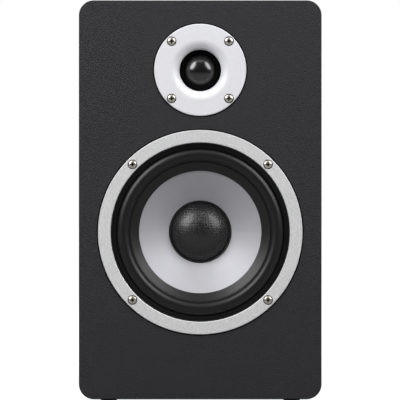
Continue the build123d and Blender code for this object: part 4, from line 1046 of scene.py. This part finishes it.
@dataclass
class FilterBoard:
    """The crossover: parts' leads, push-on sleeves, ties and glue on the board."""

    lead: float = 0.4 * MM
    reach: float = 4.0 * MM
    bend: float = 1.5 * MM
    landing: float = 0.05 * MM
    tail: float = 0.6 * MM
    sleeve_flat: float = 6.4 * MM
    sleeve_thin: float = 2.4 * MM
    sleeve_long: float = 7.0 * MM
    sleeve_taper: float = 0.62
    band: float = 2.4 * MM

    def build(self, paint: Paint) -> None:
        """Add the small pieces, then dress the board and the wires."""
        self.component_leads(paint)
        self.coil_tails(paint)
        for side, finish, slot in (("positive", RED_WIRE, "wire_red"), ("negative", BLACK_WIRE, "wire_black")):
            made = [self.sleeve(end, along) for end, along in self.wire_ends(1 if side == "positive" else -1)]
            paint.piece(Bench.join(f"{side}_sleeves", made), finish, CABINET, slot)
        paint.piece(Bench.join("cable_ties", [self.tie(node) for node in CAPACITORS]), NYLON, CABINET, "nylon")
        self.glue_blobs(paint)
        paint.solids(
            "", crossover_board=SOLDER_MASK, board_spacers=NYLON, board_screws=ZINC, board_blades=TIN,
            inductor_bobbins=BOBBIN, inductor_windings=WINDING, tweeter_capacitor=YELLOW_WRAP,
            woofer_capacitor=BLUE_SLEEVE, resistors=CEMENT, positive_wires=RED_WIRE, negative_wires=BLACK_WIRE,
        )

    @property
    def top(self) -> float:
        """Height of the board's upper face."""
        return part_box("crossover_board")[1].z

    def component_leads(self, paint: Paint) -> None:
        """Bent leads at both ends of the lying parts, each with its solder cone."""
        made, solder = [], []
        for node in CAPACITORS:
            centre = middle(node)
            for sign, face in zip((-1, 1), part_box(node)):
                out = face.x + sign * self.reach
                route = [
                    (face.x - sign * 0.5 * MM, centre.z),
                    (out - sign * self.bend, centre.z),
                    (out, centre.z - self.bend),
                    (out, self.top + 2 * MM),
                    (out, self.top + self.landing),
                ]
                made.append(Bench.wire("lead", [(x, centre.y, z) for x, z in route], self.lead))
                solder.append(self.solder_cone(Vector((out, centre.y, self.top))))
        paint.piece(Bench.join("component_leads", made), TIN, CABINET, "zinc_steel")
        paint.piece(Bench.join("solder_cones", solder), TIN, CABINET, "zinc_steel")

    @staticmethod
    def solder_cone(foot: Vector) -> Piece:
        """A little cone of solder round a lead."""
        Bench.clear()
        bpy.ops.mesh.primitive_cone_add(vertices=16, radius1=1.3 * MM, radius2=0.4 * MM, depth=1.2 * MM)
        piece = Bench.take("solder")
        Bench.edit()
        bpy.ops.transform.translate(value=foot + Vector((0, 0, 0.62 * MM)))
        return Bench.soften(piece, 0.3 * MM)

    def coil_tails(self, paint: Paint) -> None:
        """The enamelled ends of both coils, down to the board."""
        low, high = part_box("inductor_windings")
        level = middle("inductor_windings").y
        starts = (
            (-1, low.x + 1 * MM, level, self.top + 7 * MM),
            (-1, low.x + 2 * MM, level + 6 * MM, self.top + 4 * MM),
            (1, high.x - 3 * MM, high.y - 4 * MM, self.top + 9 * MM),
            (1, high.x - 2 * MM, high.y - 9 * MM, self.top + 6 * MM),
        )
        made = []
        for side, x, y, z in starts:
            out = x + side * 4.5 * MM
            route = [(x, z), (x + side * 3 * MM, z), (out, z - 2 * MM), (out, self.top + self.landing)]
            made.append(Bench.wire("tail", [(px, y, pz) for px, pz in route], self.tail))
        paint.piece(Bench.join("coil_tails", made), COPPER, CABINET, "copper")

    @staticmethod
    def wire_ends(sign: int) -> list[tuple[Vector, Vector]]:
        """Where one polarity's wires meet tags and blades, and which way they come in.

        Args:
            sign: 1 for the positive wires, -1 for the negative ones.

        Returns:
            Pairs of the meeting point and the direction from it along the wire.
        """
        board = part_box("board_blades")
        woofer, tweeter = middle("woofer_terminals"), middle("tweeter_terminals")
        backward, up = Vector((0, 1, 0)), Vector((0, 0, 1))
        woofer.y, tweeter.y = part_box("woofer_terminals")[1].y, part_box("tweeter_terminals")[1].y
        wide = 51 * MM if sign > 0 else 43 * MM
        front, rear = board[0].y + 0.4 * MM, board[1].y - 0.4 * MM
        return [
            (Vector((58 * MM, woofer.y, woofer.z + sign * 5 * MM)), backward),
            (Vector((-sign * 5 * MM, tweeter.y, tweeter.z)), backward),
            (Vector((-wide, front, board[1].z)), up),
            (Vector((wide, front, board[1].z)), up),
            (Vector((-sign * 4 * MM, rear, board[1].z)), up),
        ]

    def sleeve(self, end: Vector, along: Vector) -> Piece:
        """A flat-sided sleeve that tapers to the wire.

        Args:
            end: Where the wire meets its tag.
            along: The way the wire leaves.

        Returns:
            The sleeve.
        """
        flat, thin, long = self.sleeve_flat, self.sleeve_thin, self.sleeve_long
        size = Vector((flat, thin, long)) if along.z else Vector((thin, long, flat))
        if along.y and abs(end.x) < 20 * MM:
            size = Vector((flat, long, thin))
        centre = end - along * 1.0 * MM
        piece = Bench.block("sleeve", centre - size / 2, centre + size / 2)
        Bench.faces(piece, lambda face: face.normal.dot(along) > 0.9)
        Bench.draw_out(along * 2.5 * MM)
        taper = (self.sleeve_taper,) * 3
        bpy.ops.transform.resize(value=taper, center_override=centre + along * 6 * MM)
        Bench.draw_out(along * 3 * MM)
        return Bench.soften(piece, 0.5 * MM)

    def tie(self, node: str) -> Piece:
        """One nylon strap over a lying round part, down to the board, with its locking head."""
        low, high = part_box(node)
        centre, radius = (low + high) / 2, (high.z - low.z) / 2 + 0.25 * MM
        centre.x += 3 * MM
        strap = arc((0, 0), radius, -10, 190, 17)
        points = [centre + Vector((-self.band / 2, across, up)) for across, up in strap]
        feet = [Vector((points[0].x, point.y, self.top + 0.1 * MM)) for point in (points[0], points[-1])]
        points = [feet[0], *points, feet[1]]
        piece = Bench.chain("tie", points)
        Bench.draw_out((self.band, 0, 0))
        Bench.modify(piece, "SOLIDIFY", thickness=0.9 * MM, offset=0)
        Bench.edit()
        bpy.ops.mesh.normals_make_consistent(inside=False)
        corner = Vector((centre.x - 2.2 * MM, points[0].y + 0.3 * MM, self.top + 3 * MM))
        head = Bench.soften(Bench.block("head", corner, corner + Vector((4.4, 3, 4)) * MM), 0.4 * MM, 3)
        return Bench.join("tie", [Bench.finish(piece), head])

    def glue_blobs(self, paint: Paint) -> None:
        """Hot-melt glue at the feet of the heavy parts."""
        blobs = []
        for n, (node, end) in enumerate(((CAPACITORS[0], 0), (CAPACITORS[1], 0), (CAPACITORS[0], 1))):
            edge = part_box(node)[end].y + (-3.4 * MM if end else 3.4 * MM)
            Bench.clear()
            bpy.ops.mesh.primitive_ico_sphere_add(subdivisions=3, radius=2.6 * MM)
            piece = Bench.take("blob")
            piece.scale = (2.0, 0.9, 0.75)
            bpy.ops.object.transform_apply(location=False, rotation=False, scale=True)
            Bench.edit()
            bpy.ops.transform.vertex_random(offset=0.35 * MM, seed=n + 3)
            bpy.ops.transform.translate(value=(middle(node).x - 8 * MM, edge, self.top + 0.6 * MM))
            blobs.append(Bench.finish(piece, 80))
        paint.piece(Bench.join("glue_blobs", blobs), HOT_MELT, CABINET, "nylon")


@dataclass
class Lining:
    """The folded blanket of loose fibre along both sides and the ceiling."""

    thickness: float = 17.0 * MM
    inset: float = 1.2 * MM
    tuft: float = 2.2 * MM
    fold: float = 1.6
    corner: float = 0.95

    def build(self, paint: Paint) -> None:
        """Model the blanket as a bent slab with a lofty, uneven face."""
        low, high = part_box("damping_wadding")
        low, high = low + Vector((1, 1, 1)) * self.inset, high - Vector((1, 1, 1)) * self.inset
        wall = self.thickness - 2 * self.inset
        half, fold, corner = wall / 2, wall * self.fold, wall * self.corner
        bend = [(half, fold), (corner, corner), (fold, half)]
        path = [Vector((low.x + half, low.y, low.z))]
        path += [Vector((low.x + x, low.y, high.z - z)) for x, z in bend]
        path += [Vector((high.x - x, low.y, high.z - z)) for x, z in reversed(bend)]
        path.append(Vector((high.x - half, low.y, low.z)))
        piece = Bench.chain("wadding_blanket", path)
        Bench.draw_out((0, high.y - low.y, 0))
        bpy.ops.mesh.select_all(action="SELECT")
        bpy.ops.mesh.subdivide(number_cuts=11, smoothness=0)
        Bench.modify(piece, "SOLIDIFY", thickness=wall - 2 * self.tuft, offset=0)
        Bench.modify(piece, "SUBSURF", levels=1, render_levels=1)
        cloud = bpy.data.textures.new("tufts", "CLOUDS")
        cloud.noise_scale = 0.03
        Bench.modify(
            piece, "DISPLACE", texture=cloud, texture_coords="LOCAL", strength=2 * self.tuft, mid_level=0.5
        )
        Bench.edit()
        Bench.weld(WELD_GAP)
        Bench.finish(piece, 180)
        paint.piece(piece, WADDING, CABINET, "polyester")
        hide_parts("damping_wadding")


# ---- Studio ----


@dataclass
class Studio:
    """Pale floor, soft light and a long lens level with the baffle's middle."""

    white: Colour = (1.0, 1.0, 1.0, 1.0)
    sensor: float = 36.0
    distance: float = 1.75
    frame_height: float = 332.7 * MM
    floor_size: float = 24.0
    floor_albedo: float = 0.3
    floor_glow: tuple[float, float] = (0.78, 1.0)
    glow_radius: tuple[float, float] = (0.45, 1.3)
    ambient: float = 0.105
    sky_ends: tuple[float, float] = (0.3, 1.7)
    sky_span: tuple[float, float] = (-0.6, 0.9)
    box_distance: float = 1.3
    boxes: tuple[tuple, ...] = (
        ("left_softbox", -52.0, 36.0, 14.2, (0.72, 1.05)),
        ("right_softbox", 57.0, 36.0, 12.4, (0.72, 1.05)),
        ("top_softbox", 0.0, 78.0, 3.6, (1.2, 1.2)),
        ("rear_left_softbox", -140.0, 36.0, 8.0, (1.0, 1.0)),
        ("rear_right_softbox", 135.0, 36.0, 8.0, (1.0, 1.0)),
    )

    def build(self) -> None:
        """Set up the whole studio."""
        self.camera()
        self.floor()
        self.world()
        for box in self.boxes:
            self.softbox(*box)
        view = bpy.context.scene.view_settings
        view.view_transform = "Standard"
        view.look = "None"

    def camera(self) -> None:
        """A straight-on camera whose frame the baffle's height fills."""
        data = bpy.data.cameras.new("front_camera")
        data.sensor_width = self.sensor
        data.lens = self.sensor * self.distance / self.frame_height
        data.clip_end = 100
        camera = bpy.data.objects.new("front_camera", data)
        bpy.context.scene.collection.objects.link(camera)
        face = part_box("front_baffle")[0].y
        camera.location = (-0.2 * MM, face - self.distance, middle("front_baffle").z - 0.2 * MM)
        camera.rotation_euler = (math.radians(90), 0, 0)
        bpy.context.scene.camera = camera

    def floor(self) -> None:
        """A wide floor that turns as white as the backdrop away from the speaker."""
        Bench.clear()
        bpy.ops.mesh.primitive_plane_add(size=self.floor_size, location=(0, 0, 0))
        floor = Bench.take("studio_floor")
        paper, wires, shader = new_material("floor_paper")
        place = wires.new("TexCoord").outputs["Object"]
        away = wires.new("VectorMath", {0: place}, operation="LENGTH").outputs["Value"]
        wires.feed(shader, {
            "Base Color": (*[self.floor_albedo] * 3, 1),
            "Roughness": 0.9,
            "Emission Color": wires.new("LightPath").outputs["Is Camera Ray"],
            "Emission Strength": wires.ramp(away, self.floor_glow, self.glow_radius),
        })
        floor.data.materials.append(paper)

    def world(self) -> None:
        """White seen directly, and a soft sky, brighter above, for the light."""
        world = bpy.data.worlds.new("soft_sky")
        bpy.context.scene.world = world
        world.use_nodes = True
        world.node_tree.nodes.clear()
        wires = Wires(world.node_tree)
        rise = wires.split(wires.new("TexCoord").outputs["Generated"])[2]
        strength = wires.ramp(rise, tuple(self.ambient * end for end in self.sky_ends), self.sky_span)
        sky, backdrop = (wires.new("Background", {"Color": self.white, "Strength": s}) for s in (strength, 1.0))
        seen = wires.new("LightPath").outputs["Is Camera Ray"]
        pick = wires.new("MixShader", {0: seen, 1: sky.outputs[0], 2: backdrop.outputs[0]})
        wires.new("OutputWorld", {"Surface": pick.outputs[0]})

    def softbox(self, name: str, side: float, rise: float, power: float, size: tuple[float, float]) -> None:
        """Hang one oval light that faces the box.

        Args:
            name: The light's name.
            side: Degrees round from straight in front.
            rise: Degrees above level.
            power: Watts.
            size: Its width and height.
        """
        turn, lift = math.radians(side), math.radians(rise)
        way = Vector((math.sin(turn) * math.cos(lift), -math.cos(turn) * math.cos(lift), math.sin(lift)))
        data = bpy.data.lights.new(name, "AREA")
        data.shape = "ELLIPSE"
        data.size, data.size_y = size
        data.energy = power
        box = bpy.data.objects.new(name, data)
        box.location = middle("front_baffle") + way * self.box_distance
        box.rotation_euler = way.to_track_quat("Z", "Y").to_euler()
        bpy.context.scene.collection.objects.link(box)


def main() -> None:
    """Build every sub-assembly in order and report each one."""
    logging.basicConfig(level=logging.WARNING, format="%(message)s")
    paint = Paint()
    Studio().build()
    for part in (Cabinet(), Woofer(), Tweeter(), Back(), FilterBoard(), Lining()):
        part.build(paint)
        LOG.info("%s is built", type(part).__name__)
    Bench.clear()


if __name__ == "__main__":
    main()
